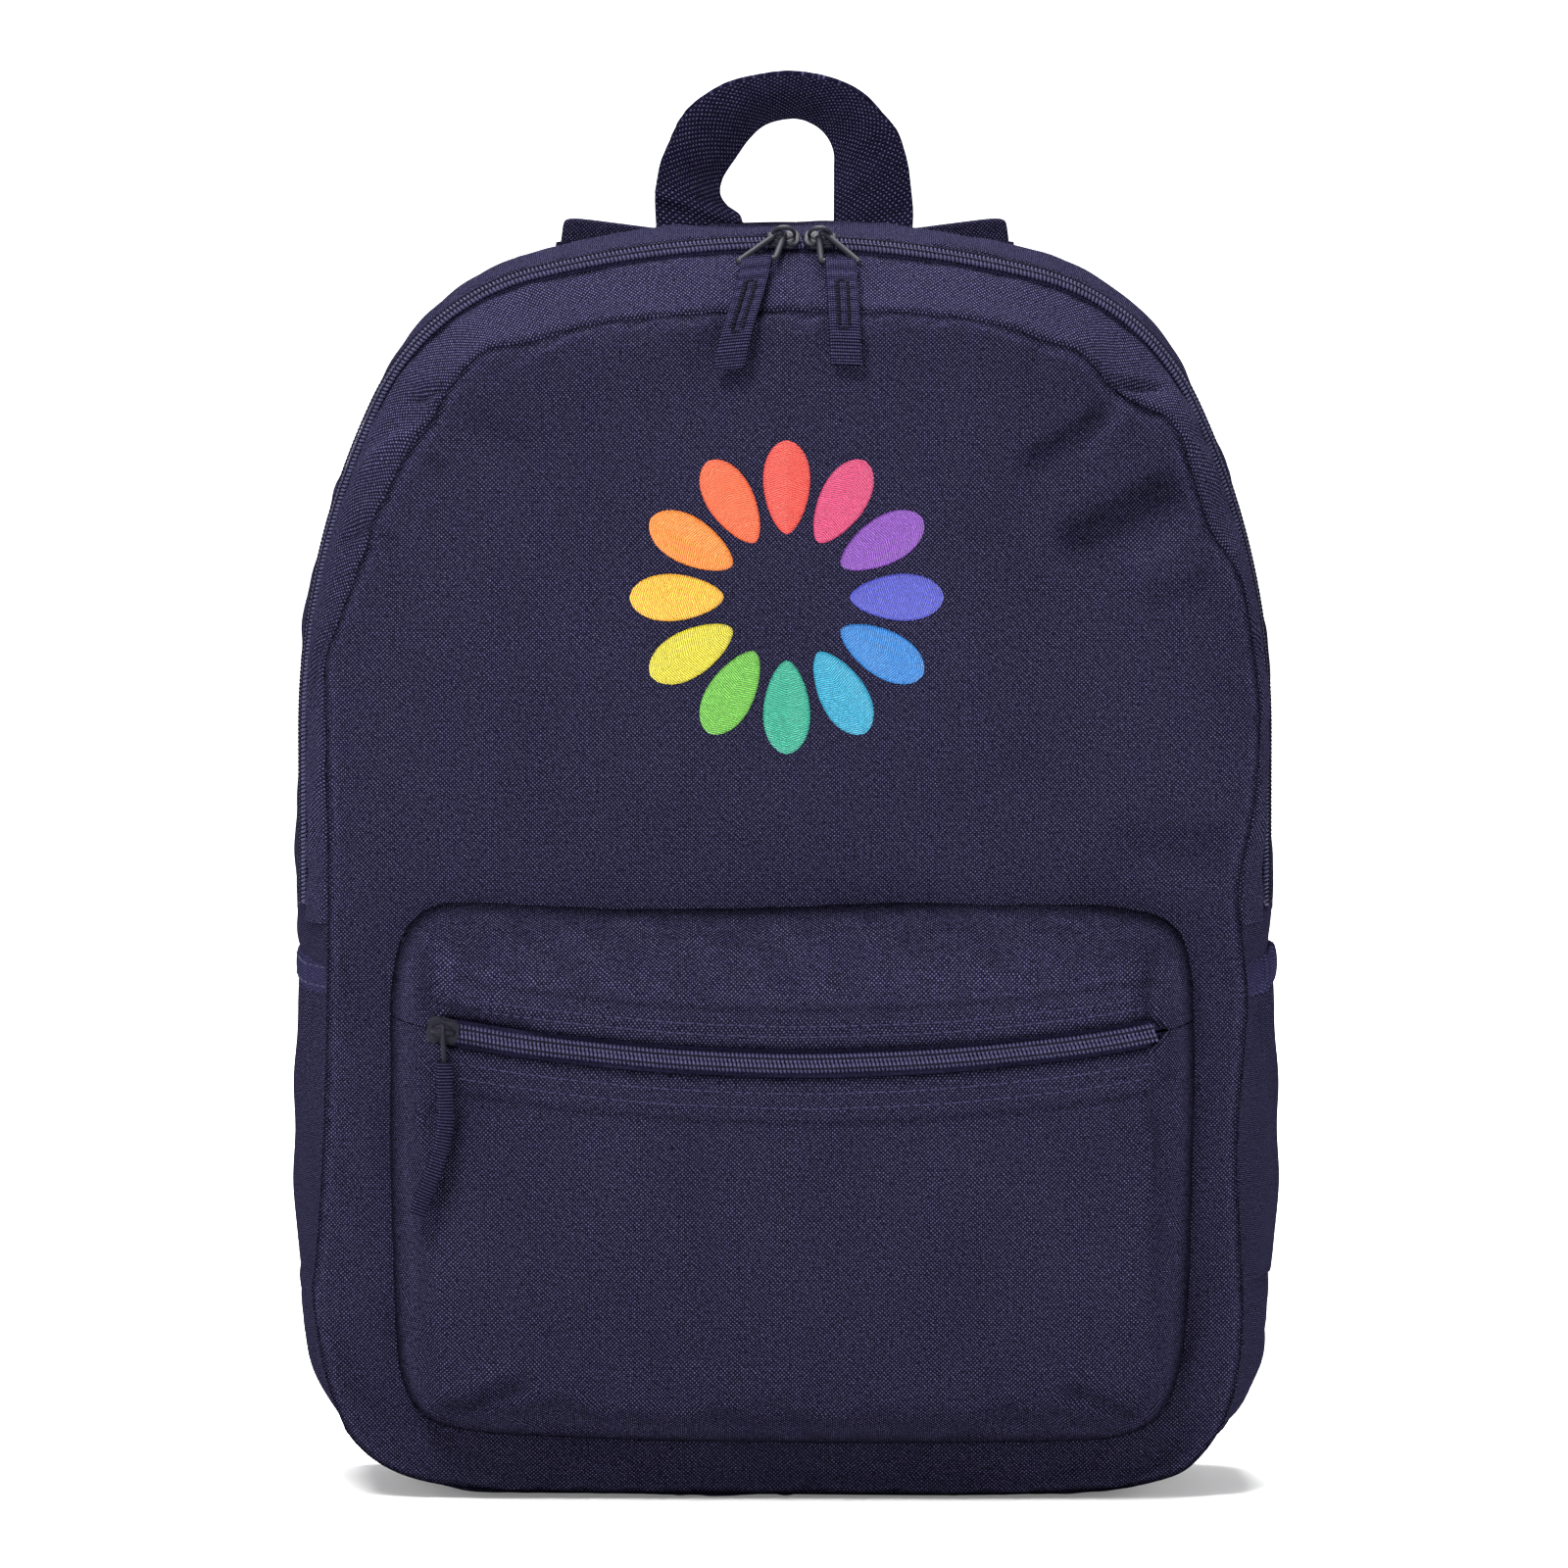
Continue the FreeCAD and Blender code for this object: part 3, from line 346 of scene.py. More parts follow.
class Value:
    """A number inside a material, so that a recipe reads as arithmetic."""

    def __init__(self, tree, socket):
        self.tree, self.socket = tree, socket

    def then(self, operation, other=0.0, clamp=False):
        node = self.tree.nodes.new("ShaderNodeMath")
        node.operation, node.use_clamp = operation, clamp
        self.tree.links.new(self.socket, node.inputs[0])
        feed(node.inputs[1], other)
        return Value(self.tree, node.outputs[0])

    def __add__(self, other):
        return self.then("ADD", other)

    def __sub__(self, other):
        return self.then("SUBTRACT", other)

    def __mul__(self, other):
        return self.then("MULTIPLY", other)

    def __pow__(self, other):
        return self.then("POWER", other)

    def above(self, least):
        return self.then("MAXIMUM", least)

    def sine(self):
        return self.then("SINE")


def feed(socket, value):
    """Sets a socket: a link for a value made by nodes, else a plain number or colour."""
    if isinstance(value, Value):
        value.tree.links.new(value.socket, socket)
    else:
        socket.default_value = (*value, 1.0) if isinstance(value, tuple) else value


def new_material(name):
    mat = bpy.data.materials.new(name)
    mat.use_nodes = True
    return mat, mat.node_tree


def split(place):
    node = place.tree.nodes.new("ShaderNodeSeparateXYZ")
    feed(node.inputs[0], place)
    return [Value(place.tree, socket) for socket in node.outputs]


def cloth_place(tree):
    """The piece's own flat-cloth coordinates in millimetres: the whole vector, then X, Y and the tone, painted
    shade above zero and painted highlight below.
    """
    attribute = tree.nodes.new("ShaderNodeAttribute")
    attribute.attribute_name = "cloth"
    place = Value(tree, attribute.outputs["Vector"])
    return [place, *split(place)]


def object_place(tree):
    return Value(tree, tree.nodes.new("ShaderNodeTexCoord").outputs["Object"])


def noise(place, scale, detail=2.0, rough=0.5):
    node = place.tree.nodes.new("ShaderNodeTexNoise")
    for label, value in (("Vector", place), ("Scale", scale), ("Detail", detail), ("Roughness", rough)):
        feed(node.inputs[label], value)
    return Value(place.tree, node.outputs["Fac"])


def mix(share, a, b):
    """A colour between a and b."""
    node = share.tree.nodes.new("ShaderNodeMix")
    node.data_type = "RGBA"
    for socket, value in zip((node.inputs["Factor"], node.inputs[6], node.inputs[7]), (share, a, b)):
        feed(socket, value)
    return Value(share.tree, node.outputs[2])


def shade(tree, colour, **inputs):
    """Sets the shader's colour and its other inputs by name, an underscore standing for a space."""
    shader = tree.nodes["Principled BSDF"]
    feed(shader.inputs["Base Color"], colour)
    for label, value in inputs.items():
        feed(shader.inputs[label.replace("_", " ")], value)


def emboss(height, depth):
    """Bumps the surface by a height, of a depth in metres."""
    node = height.tree.nodes.new("ShaderNodeBump")
    for label, value in (("Height", height), ("Distance", depth), ("Strength", 1.0)):
        feed(node.inputs[label], value)
    feed(height.tree.nodes["Principled BSDF"].inputs["Normal"], Value(height.tree, node.outputs[0]))


def fold_painted_shade(height):
    """Painted shade in a fold's valley and a painted highlight on its ridge, as a tone."""
    return np.where(height < 0, -0.10 * height, -0.07 * height).clip(-0.25, 0.45)


def woven(name, dark, light, pitch_x, pitch_y, depth, rough=0.7, contrast=1.0):
    """Plain weave: each thread crossing is a small bump, and every other one shows the lighter thread."""
    mat, tree = new_material(name)
    place, x, y, tone = cloth_place(tree)
    drift = noise(place, 0.25, 3.0, 0.6) - 0.5
    over = ((x + drift) * (math.pi / pitch_x)).sine() * ((y + drift) * (math.pi / pitch_y)).sine()
    warp, weft = over.above(0.0) ** 1.25, (over * -1.0).above(0.0) ** 0.9
    vary = (noise(place, 0.9) * 2.6 - 0.42).above(0.05)
    thread = ((warp + weft * 0.10) * vary).then("MULTIPLY", contrast, clamp=True)
    patch = (noise(place, 0.02, 3.0, 0.6) - 0.5) * 0.35 + 1.0
    # patch is the cloth's own uneven tone; the piece's tone is painted shade above zero and painted highlight
    # below.
    patches_and_painted_shade = tree.nodes.new("ShaderNodeHueSaturation")
    feed(patches_and_painted_shade.inputs["Color"], mix(thread, dark, light))
    feed(patches_and_painted_shade.inputs["Value"], (patch - tone).above(0.08))
    shade(tree, Value(tree, patches_and_painted_shade.outputs[0]), Roughness=rough, Specular_IOR_Level=0.0)
    emboss(warp + weft * 0.75, depth / 1000.0)
    return mat


def ribbed(name, dark, light, pitch):
    """Narrow webbing: ribs across it, each broken into short threads."""
    mat, tree = new_material(name)
    place, x, y, _ = cloth_place(tree)
    rib = (y * (math.tau / pitch)).sine() * 0.5 + 0.5
    threads = rib * ((x * (math.tau / 0.8)).sine() * 0.3 + 0.7)
    tone = threads.then("MULTIPLY", noise(place, 1.0) + 0.35, clamp=True) ** 1.7
    shade(tree, mix(tone, dark, light), Roughness=0.75, Specular_IOR_Level=0.0)
    emboss(threads, 0.0003)
    return mat


def satin(name, colour):
    """Satin-stitch thread: fine parallel threads across the petal."""
    mat, tree = new_material(name)
    place, x, _, _ = cloth_place(tree)
    line = ((x + noise(place, 0.5) * 0.8) * (math.pi / 0.36)).sine() * 0.5 + 0.5
    tone = line.then("MULTIPLY", noise(place, 1.2) + 0.45, clamp=True)
    dark, light = tuple(c * 0.28 for c in colour), tuple(min(1, c * 1.25 + 0.02) for c in colour)
    shade(tree, mix(tone, dark, light), Roughness=0.42, Specular_IOR_Level=0.45, Sheen_Weight=0.1,
          Sheen_Roughness=0.4, Sheen_Tint=(0.45, 0.42, 0.85))
    emboss(line, 0.00035)
    return mat


def plain(name, colour, rough, grain=0.0, specular=0.4):
    """Moulded, painted or fine thread: a faint unevenness of tone and polish."""
    mat, tree = new_material(name)
    place = object_place(tree)
    lighter = tuple(min(1.0, c * 1.5 + 0.004) for c in colour)
    shade(tree, mix(noise(place, 180.0, 3.0, 0.6), colour, lighter), Roughness=rough,
          Specular_IOR_Level=specular)
    emboss(noise(place, 900.0), 0.00002 + grain / 1000.0)
    return mat


CLOTH_DARK = (0.0020, 0.0019, 0.0050)
OXFORD = woven("oxford", CLOTH_DARK, (0.070, 0.064, 0.133), 0.66, 0.66, 0.22)
# The same oxford in a lighter colour: painted light on the front gusset, its threads at their own pitches.
OXFORD_PAINTED_LIGHT = woven("oxford_painted_light", CLOTH_DARK, (0.088, 0.080, 0.168), 0.68, 0.84, 0.22)
LINING = woven("lining", (0.008, 0.0072, 0.018), (0.026, 0.024, 0.055), 0.4, 0.4, 0.03)
WEBBING = woven("webbing", (0.0024, 0.0021, 0.0066), (0.080, 0.074, 0.160), 0.95, 1.15, 0.5, 0.75,
                contrast=1.1)
TAPE = woven("zip_tape", (0.0045, 0.004, 0.011), (0.030, 0.027, 0.065), 0.42, 0.42, 0.08, 0.85)
BINDING = woven("binding", (0.008, 0.0072, 0.019), (0.055, 0.05, 0.12), 0.5, 1.0, 0.15, 0.8)
TAB = ribbed("pull_webbing", (0.0020, 0.0018, 0.0052), (0.066, 0.060, 0.132), 1.05)
THREAD = plain("thread", (0.017, 0.0155, 0.040), 0.6, grain=0.03, specular=0.06)
TAB_THREAD = plain("tab_stitch", (0.0022, 0.0020, 0.0052), 0.8, grain=0.05, specular=0.02)
COIL_THREAD = plain("coil_thread", (0.003, 0.0027, 0.0075), 0.8, grain=0.02, specular=0.02)
COIL = plain("zip_coil", (0.026, 0.0238, 0.057), 0.45, specular=0.18)
METAL = plain("slider_metal", (0.0030, 0.0028, 0.0068), 0.55, specular=0.10)
PLASTIC = plain("buckle_plastic", (0.008, 0.0075, 0.014), 0.42, grain=0.01, specular=0.35)

# ---------------------------------------------------------------- the bag's outlines

def arch_half(half, top, radius, turn, shoulder, end, corner):
    """Half an outline, from the bottom's middle up one side to the top's middle."""
    a, b = math.radians(turn), math.radians(end)
    middle = top - radius
    x, z = (radius - shoulder) * math.sin(a), middle + (radius - shoulder) * math.cos(a)
    joint = x + shoulder * math.sin(b), z + shoulder * math.cos(b)
    side = (half - joint[0]) / (1 - math.sin(b))
    side_z = joint[1] - side * math.cos(b)
    down = [arc(0, middle, radius, 0, turn), arc(x, z, shoulder, turn, end)[1:],
            arc(half - side, side_z, side, end, 90)[1:], [(half, corner)],
            arc(half - corner, corner, corner, 90, 180)[1:], [(0, 0)]]
    return np.concatenate(down)[::-1]


class Loop:
    """A closed outline. Its place runs 0..4: up the right side to the top at 2, then down the left."""

    def __init__(self, right, left=None):
        self.parts = [self.split_at_fold(even(p, 1600)) for p in (right, right if left is None else left)]

    @staticmethod
    def split_at_fold(p):
        """Places 1 and 3 are where the flap folds."""
        k = int(np.argmax(p[:, 1] > FOLD_Z))
        return even(p[: k + 1], 700), even(p[k:], 900)

    def __call__(self, place):
        place = np.mod(np.asarray(place, float), 4.0)
        out = np.zeros(place.shape + (2,))
        for (low, high), sign, mask in zip(self.parts, (1, -1), (place <= 2.0, place > 2.0)):
            t = place if sign > 0 else 4.0 - place
            p = np.where((t < 1)[..., None], at(low, np.clip(t, 0, 1)), at(high, np.clip(t - 1, 0, 1)))
            out[mask] = (p * np.array([sign, 1]))[mask]
        return out


SEAM_RIGHT = [(0, 1.5), (60, 1.2), (100, 2.5), (123, 5.8), (136, 12.5), (147, 30), (151.5, 60),
              (149.5, 113), (151.7, 146), (153.0, 167), (151.0, 186), (150.2, 204), (155.5, 232),
              (157, 258), (155.5, 276), (152.5, 297), (148.5, 309.5), (140.5, 321), (137.5, 330),
              (132.5, 346), (127.5, 357), (117, 361.8), (107, 369), (98.5, 379), (86, 383.5), (66, 390),
              (36, 393), (0, 393)]
SEAM_LEFT = [(0, 1.5), (60, 1.8), (100, 3.0), (126, 7.8), (141.8, 18.2), (149, 32), (153, 46), (156.3, 68),
             (155, 81), (152.7, 117), (151.1, 175), (151.4, 237), (151.9, 264), (151.6, 279), (147.3, 291),
             (141.7, 306), (137.8, 315), (136.8, 323), (132, 331), (127.5, 341), (121.6, 350.5),
             (115.8, 358), (114.3, 362), (109.6, 369.5), (99, 380.3), (84, 383), (62, 389.2), (32, 392.3),
             (0, 393)]
REAR_HALF = [(0, 0), (60, 0), (102, 0.5), (120, 3), (132, 7), (144, 14.5), (148.8, 22), (152.3, 30),
             (155.6, 38), (157.8, 46), (160.8, 62), (162, 76), (162.3, 110), (162.3, 200), (162.0, 240),
             (161.0, 262), (159.0, 282), (156.2, 299), (153.4, 315), (151, 323), (148.3, 331), (144.8, 339),
             (141.3, 347), (138, 355), (134, 363), (129.8, 372), (124.2, 380), (117, 388.3), (107.4, 396.5),
             (93, 404.8), (77, 411), (60, 414.2), (40, 416), (0, 417)]
ARCH = (341, 14.1, 77, 64.5, 60)
SEAM = Loop(smooth_line(SEAM_RIGHT, 1600), smooth_line(SEAM_LEFT, 1600))
STRIP_FRONT, STRIP_REAR = Loop(arch_half(157.6, 410.6, *ARCH)), Loop(arch_half(159.6, 417.2, *ARCH))
REAR = Loop(smooth_line(REAR_HALF, 1600))
BACK = Loop(arch_half(156.5, 416.2, *ARCH))
STATION_Y = np.array([SEAM_Y, STRIP_FRONT_Y, STRIP_REAR_Y, REAR_Y, BACK_Y])
STATIONS = [SEAM, STRIP_FRONT, STRIP_REAR, REAR, BACK]


def shell(place, ys):
    """The bag's plain wall over places and depths, and its outward normals."""
    knots = np.stack([loop(place) for loop in STATIONS])
    points = np.zeros((len(place), len(ys), 3))
    for k, y in enumerate(ys):
        i = int(np.clip(np.searchsorted(STATION_Y, y) - 1, 0, 3))
        t = (y - STATION_Y[i]) / (STATION_Y[i + 1] - STATION_Y[i])
        points[:, k, [0, 2]], points[:, k, 1] = knots[i] * (1 - t) + knots[i + 1] * t, y
    n = unit(np.cross(np.gradient(points, axis=0), np.gradient(points, axis=1)))
    sign = np.sign(np.sum(n * (points - np.array([0, -5, 200.0])), -1, keepdims=True))
    return points, n * np.where(sign == 0, 1, sign)


def cloth_of(points):
    """Flat-cloth coordinates of a grid: running lengths both ways."""
    along = running(points[:, points.shape[1] // 2])
    return np.stack([np.repeat(along[:, None], points.shape[1], 1), running(points, 1)], -1)


# ---------------------------------------------------------------- cloth simulation

def settle(points, held, pressure, slack, cap, frames=16):
    """How far cloth moves when it is sewn down where held and pushed from behind: an array like points."""
    obj = make_mesh("settling", points, grid_faces(*points.shape[:2]), THREAD)
    pins = obj.vertex_groups.new(name="pins")
    pins.add([int(i) for i in np.nonzero(held.ravel())[0]], 1.0, "REPLACE")
    cloth = obj.modifiers.new("cloth", "CLOTH")
    how = cloth.settings
    how.quality, how.mass, how.air_damping = 8, 0.25, 4.0
    how.tension_stiffness = how.compression_stiffness = 12.0
    how.shear_stiffness, how.bending_stiffness = 6.0, 0.6
    how.vertex_group_mass = "pins"
    how.use_pressure, how.uniform_pressure_force = True, pressure
    how.shrink_min = -slack
    how.effector_weights.gravity = 0.0
    cloth.collision_settings.use_collision = False
    scene = bpy.context.scene
    cloth.point_cache.frame_start, cloth.point_cache.frame_end = 1, frames
    for frame_number in range(1, frames + 1):
        scene.frame_set(frame_number)
    done = obj.evaluated_get(bpy.context.evaluated_depsgraph_get()).to_mesh()
    co = np.zeros(points.size)
    done.vertices.foreach_get("co", co)
    moved = co.reshape(points.shape) * 1000 - points
    mesh = obj.data
    bpy.data.objects.remove(obj)
    bpy.data.meshes.remove(mesh)
    scene.frame_set(1)
    return moved * np.minimum(1.0, cap / np.maximum(np.linalg.norm(moved, axis=-1, keepdims=True), 1e-6))


# ---------------------------------------------------------------- the bag's walls

def wall_sheet(name, places, ys, material, seed, pucker=0.5, soft=1.2, dips=(1.4, 1.0), folds=(), belly=0.0,
               drawn_in=0.0, tuck=0.0):
    """One sheet of the wall between two depths, with puckers at its seams and soft waves between them.

    dips sink its two long edges and tuck its two ends. A fold goes from one (place, distance across) to
    another, with a width and a height. belly swells the upper part, drawn_in hollows the side pocket's.
    """
    base, n = shell(places, ys)
    cloth = cloth_of(base)
    along, across = cloth[..., 0], cloth[..., 1]
    width, z = across[:, -1:], base[..., 2]
    lift = tone = 0
    for edge, dip, size, k in ((across, dips[0], 11.0, seed), (width - across, dips[1], 13.0, seed + 1)):
        gathered = pucker * ripple(along, across * 0.25, size, k) * np.exp(-edge / 9) * fill(edge, 1.2)
        # The tone is painted shade along both seamed edges.
        lift, tone = lift + gathered - dip * bell(edge, 2.2), tone + 0.75 * bell(edge, 1.5)
    room = np.minimum(across, width - across)
    ends = 1 - bell(along, 11.0) - bell(along[-1] - along, 11.0)
    lift = lift + soft * ripple(along, across, 75.0, seed + 2) * fill(room, 14) * ends
    lift = lift + 0.25 * soft * ripple(along, across, 26.0, seed + 3) * fill(room, 8) * ends
    for (p0, t0), (p1, t1), wide, height in folds:
        line = np.array([(np.interp(p0, places, along[:, 0]), t0), (np.interp(p1, places, along[:, 0]), t1)])
        off, t = nearest(line, cloth)
        fold = height * np.exp(-off / wide ** 2) * np.sin(np.pi * np.clip(t * 0.9 + 0.08, 0, 1)) ** 0.6
        # Painted shade in each fold's valley and a painted highlight on its ridge.
        lift, tone = lift + fold, tone + fold_painted_shade(fold)
    share = np.clip(across / width, 0, 1)
    lift = lift + belly * np.sin(np.pi * share ** 1.15) * (1 - step(z, 350, 392)) * step(z, 40, 90)
    lift = lift - drawn_in * step(z, 66, 92) * (1 - step(z, 158, 186)) * np.sin(np.pi * share) ** 0.8
    lift = lift - tuck * (bell(along, 2.0) + bell(along[-1] - along, 2.0))
    points = base + n * lift[..., None]
    return grid_mesh(name, points, material, np.concatenate([cloth, tone[..., None]], -1)), points


GUSSET_FOLDS = [((2.40, 1.5), (2.45, 15.0), 1.7, -1.8), ((2.46, 2.0), (2.55, 19.0), 3.2, 2.2),
                ((2.57, 1.5), (2.62, 14.0), 1.8, -1.9), ((2.70, 3.0), (2.80, 14.0), 2.2, -1.6),
                ((2.86, 4.0), (2.96, 15.0), 3.0, 1.5), ((1.62, 1.5), (1.56, 15.0), 2.0, -2.4),
                ((1.52, 2.0), (1.44, 16.0), 3.0, 1.9), ((1.30, 1.5), (1.24, 16.0), 2.2, -2.2),
                ((1.12, 3.0), (1.05, 14.0), 3.0, 1.4)]
REAR_FOLDS = [((2.30, 8.0), (2.42, 40.0), 3.2, -2.2), ((2.62, 8.0), (2.52, 46.0), 4.0, 2.2),
              ((1.70, 8.0), (1.58, 44.0), 3.6, -2.4), ((1.40, 8.0), (1.50, 40.0), 4.2, 2.0),
              ((1.9, 30.0), (2.1, 36.0), 6.0, -1.8), ((1.16, 10.0), (1.24, 44.0), 4.5, -1.8),
              ((2.84, 10.0), (2.76, 44.0), 4.5, -1.8)]


def depths(*spans):
    """Depths through several spans (start, end, count), each span's first one dropped but the first's."""
    return np.concatenate([np.linspace(*span)[min(k, 1):] for k, span in enumerate(spans)])


LOW_PLACE, CORNER_PLACE, OVERLAP = 0.97, 0.42, 0.015
UPPER = np.linspace(LOW_PLACE, 4 - LOW_PLACE, 560)
RIGHT_SIDE = np.linspace(CORNER_PLACE - OVERLAP, LOW_PLACE + OVERLAP, 120)
LOWER_Y = depths((SEAM_Y, STRIP_FRONT_Y, 10), (STRIP_FRONT_Y, STRIP_REAR_Y, 6), (STRIP_REAR_Y, REAR_Y, 18),
                 (REAR_Y, BACK_Y, 18))
sewn_to_both = ("front_panel_lower", "back_panel")
gusset, points = wall_sheet("front_gusset_cloth", UPPER, depths((SEAM_Y, -41.4, 24)), OXFORD_PAINTED_LIGHT, 21,
                            pucker=0.45, soft=1.0, dips=(2.0, 0.3), folds=GUSSET_FOLDS, belly=2.6)
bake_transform(gusset)
sewn_sheet(gusset, points, "front_panel_upper", "main_zip_tape_front")
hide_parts("front_gusset")
for name, cad, places, ys, seed, joined, how in (
        ("rear_gusset", "rear_gusset", UPPER, depths((-34.6, REAR_Y, 22), (REAR_Y, BACK_Y, 20)), 31,
         ("back_panel", "main_zip_tape_rear"), {"soft": 1.4, "dips": (0.3, 1.6), "folds": REAR_FOLDS}),
        ("side_right", "side_panel_right", RIGHT_SIDE, LOWER_Y, 41, sewn_to_both,
         {"drawn_in": 7.0, "tuck": 0.9}),
        ("side_left", "side_panel_left", 4 - RIGHT_SIDE[::-1], LOWER_Y, 47, sewn_to_both,
         {"drawn_in": 7.0, "tuck": 0.9}),
        ("bottom", "bottom_panel", np.linspace(-CORNER_PLACE, CORNER_PLACE, 200), LOWER_Y, 53, sewn_to_both,
         {"soft": 0.9})):
    piece, points = wall_sheet(name + "_cloth", places, ys, OXFORD, seed, **how)
    tie(piece, "bag", None, cad)
    sewn_sheet(piece, points, *joined)


# ---------------------------------------------------------------- front panel

def spread(n, pull):
    """Shares 0..1 that crowd towards both ends."""
    t = np.linspace(-1, 1, n)
    return 0.5 + 0.5 * np.sign(t) * (1 - (1 - np.abs(t)) ** pull)


def coons(low, right, high, left, us, vs):
    """A patch between four edges. The low and high ones run left to right; the sides run up."""
    u, v = us[:, None, None], vs[None, :, None]
    corners = (1 - u) * (1 - v) * low[0] + u * (1 - v) * low[-1] + (1 - u) * v * high[0] + u * v * high[-1]
    return ((1 - v) * at(low, us)[:, None] + v * at(high, us)[:, None] + (1 - u) * at(left, vs)[None]
            + u * at(right, vs)[None] - corners)


def plan_inside(loop, corners, nu, nv, pull):
    """A grid of (x, z) inside a loop, its corners nearest to four points, from the low left one round."""
    places = []
    for corner, span in zip(corners, ((2, 4), (0, 1), (1, 2), (2, 3))):
        s = np.linspace(*span, 4000)
        places.append(s[np.argmin(np.sum((loop(s) - np.asarray(corner)) ** 2, -1))])
    a, b, c, d = places

    def edge(start, end, n):
        return loop(np.linspace(start, end, n))
    return coons(edge(a - 4, b, 500), edge(b, c, 700), edge(c, d, 500)[::-1], edge(d, a, 700)[::-1],
                 spread(nu, pull), spread(nv, pull))


PANEL_FOLDS = [([(109, 365), (99, 356), (88, 349), (74, 341)], 4.4, -1.7),
               ([(114, 361), (106, 352), (97, 344)], 3.5, 1.0),
               ([(136, 341), (122, 333), (106, 325), (86, 315)], 8.0, -2.4),
               ([(139, 326), (126, 317), (110, 309)], 8.0, 1.5),
               ([(143, 310), (132, 303), (116, 299)], 5.0, -0.9),
               ([(-118, 346), (-113, 343), (-110, 341)], 2.2, -0.9),
               ([(-136, 321), (-131, 319), (-126, 318)], 2.5, -0.9),
               ([(-106, 367), (-97, 357), (-78, 350)], 6.0, -0.7),
               ([(152, 226), (136, 219), (104, 222)], 8.0, -0.9),
               ([(150, 208), (138, 204), (112, 208)], 7.0, 0.6)]
SEAM_LINE = SEAM(np.linspace(0, 4, 700))


def panel_depth(d):
    """The plain front panel's depth, d inside its seam."""
    return SEAM_Y - (2.6 * fill(d, 1.1) + 7.6 * fill(d, 42.0))


def front_panel():
    """The front, in one piece from the bottom to the top seam."""
    xz = plan_inside(SEAM, ((-141, 14), (139, 14), (102, 376), (-104, 376)), 171, 221, 1.35)
    x, z = xz[..., 0], xz[..., 1]
    d = distance_to(SEAM_LINE, xz)
    folds = creases(xz, PANEL_FOLDS)
    pucker = 0.55 * np.exp(-d / 9.0) * fill(d, 1.4) * ripple(np.arctan2(z - 200, x) * 150, d * 0.3, 12.0, 5)
    soft = 1.4 * ripple(x, z, 80.0, 6) * fill(d, 22) + 0.3 * ripple(x, z, 30.0, 7) * fill(d, 10)
    points = np.stack([x, panel_depth(d) - pucker - soft - folds, z], -1)
    points = points + finer(settle(points[::2, ::2], d[::2, ::2] < 1.6, 1.4, 0.012, 2.6), points.shape[:2])
    # Painted shade in the folds' valleys and along the seam, painted highlights on fold ridges and just inside
    # the seam; darker along the bottom edge.
    tone = fold_painted_shade(folds) + 0.6 * bell(d, 1.3) - 0.22 * bell(d - 3.0, 1.3)
    tone = tone + 0.5 * np.exp(-np.maximum(z - 1.5, 0) / 6.0)
    panel = grid_mesh("front_panel_cloth", points, OXFORD, np.stack([x, z, tone], -1), flip=True)
    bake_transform(panel)
    sewn_sheet(panel, points, "front_gusset", "bottom_panel")
    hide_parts("front_panel_upper", "front_panel_lower", "front_seam_upper", "front_seam_lower")
    return surface_tree(panel)


panel_tree = front_panel()


# ---------------------------------------------------------------- zips

def coil(path, up, shift, phase, wide=2.7, high=1.7, pitch=1.35, wire=0.98, per_turn=9):
    """One row of a coil zip: wire wound along the path. Returns points and faces."""
    turns = int(running(path)[-1] / pitch)
    n = turns * per_turn + 1
    p, u = even(path, n), even(up, n)
    _, across, normal = frames_along(p, u)
    w = (np.linspace(0, turns * math.tau, n) + phase)[:, None]
    core = p + across * (shift + wide / 2 * np.cos(w)) + normal * (high / 2 * np.sin(w))
    out = unit(across * np.cos(w) * high + normal * np.sin(w) * wide)
    side = unit(np.cross(unit(np.gradient(core, axis=0)), out))
    return rings(core, out, side, wire / 2, 5), grid_faces(n, 5, wrap_v=True)


def coil_row(name, path, up, shift, phase, body, cad):
    """A coil row with the thread that sews it down running over its turns."""
    tie(make_mesh(name, *coil(path, up, shift, phase), COIL), body, None, cad)
    n = int(running(path)[-1] / 0.34)
    p = even(path, n)
    _, across, normal = frames_along(p, even(up, n))
    wave = 0.10 * np.cos(np.arange(n) * 0.34 / 1.35 * math.tau)
    thread = rings(p + across * (shift * 1.12) + normal * (1.18 + wave)[:, None], across, normal, 0.36, 6)
    tie(make_mesh(name + "_thread", thread, grid_faces(n, 6, wrap_v=True), COIL_THREAD), body, "thread")


def strip_point(place, across):
    """A point of the main zip's sloping strip: 0 at its front edge, 1 at its rear edge."""
    p = STRIP_FRONT(place) * (1 - across) + STRIP_REAR(place) * across
    y = STRIP_FRONT_Y + (STRIP_REAR_Y - STRIP_FRONT_Y) * across
    return np.stack([p[..., 0], np.full(p.shape[:-1], y), p[..., 1]], -1)


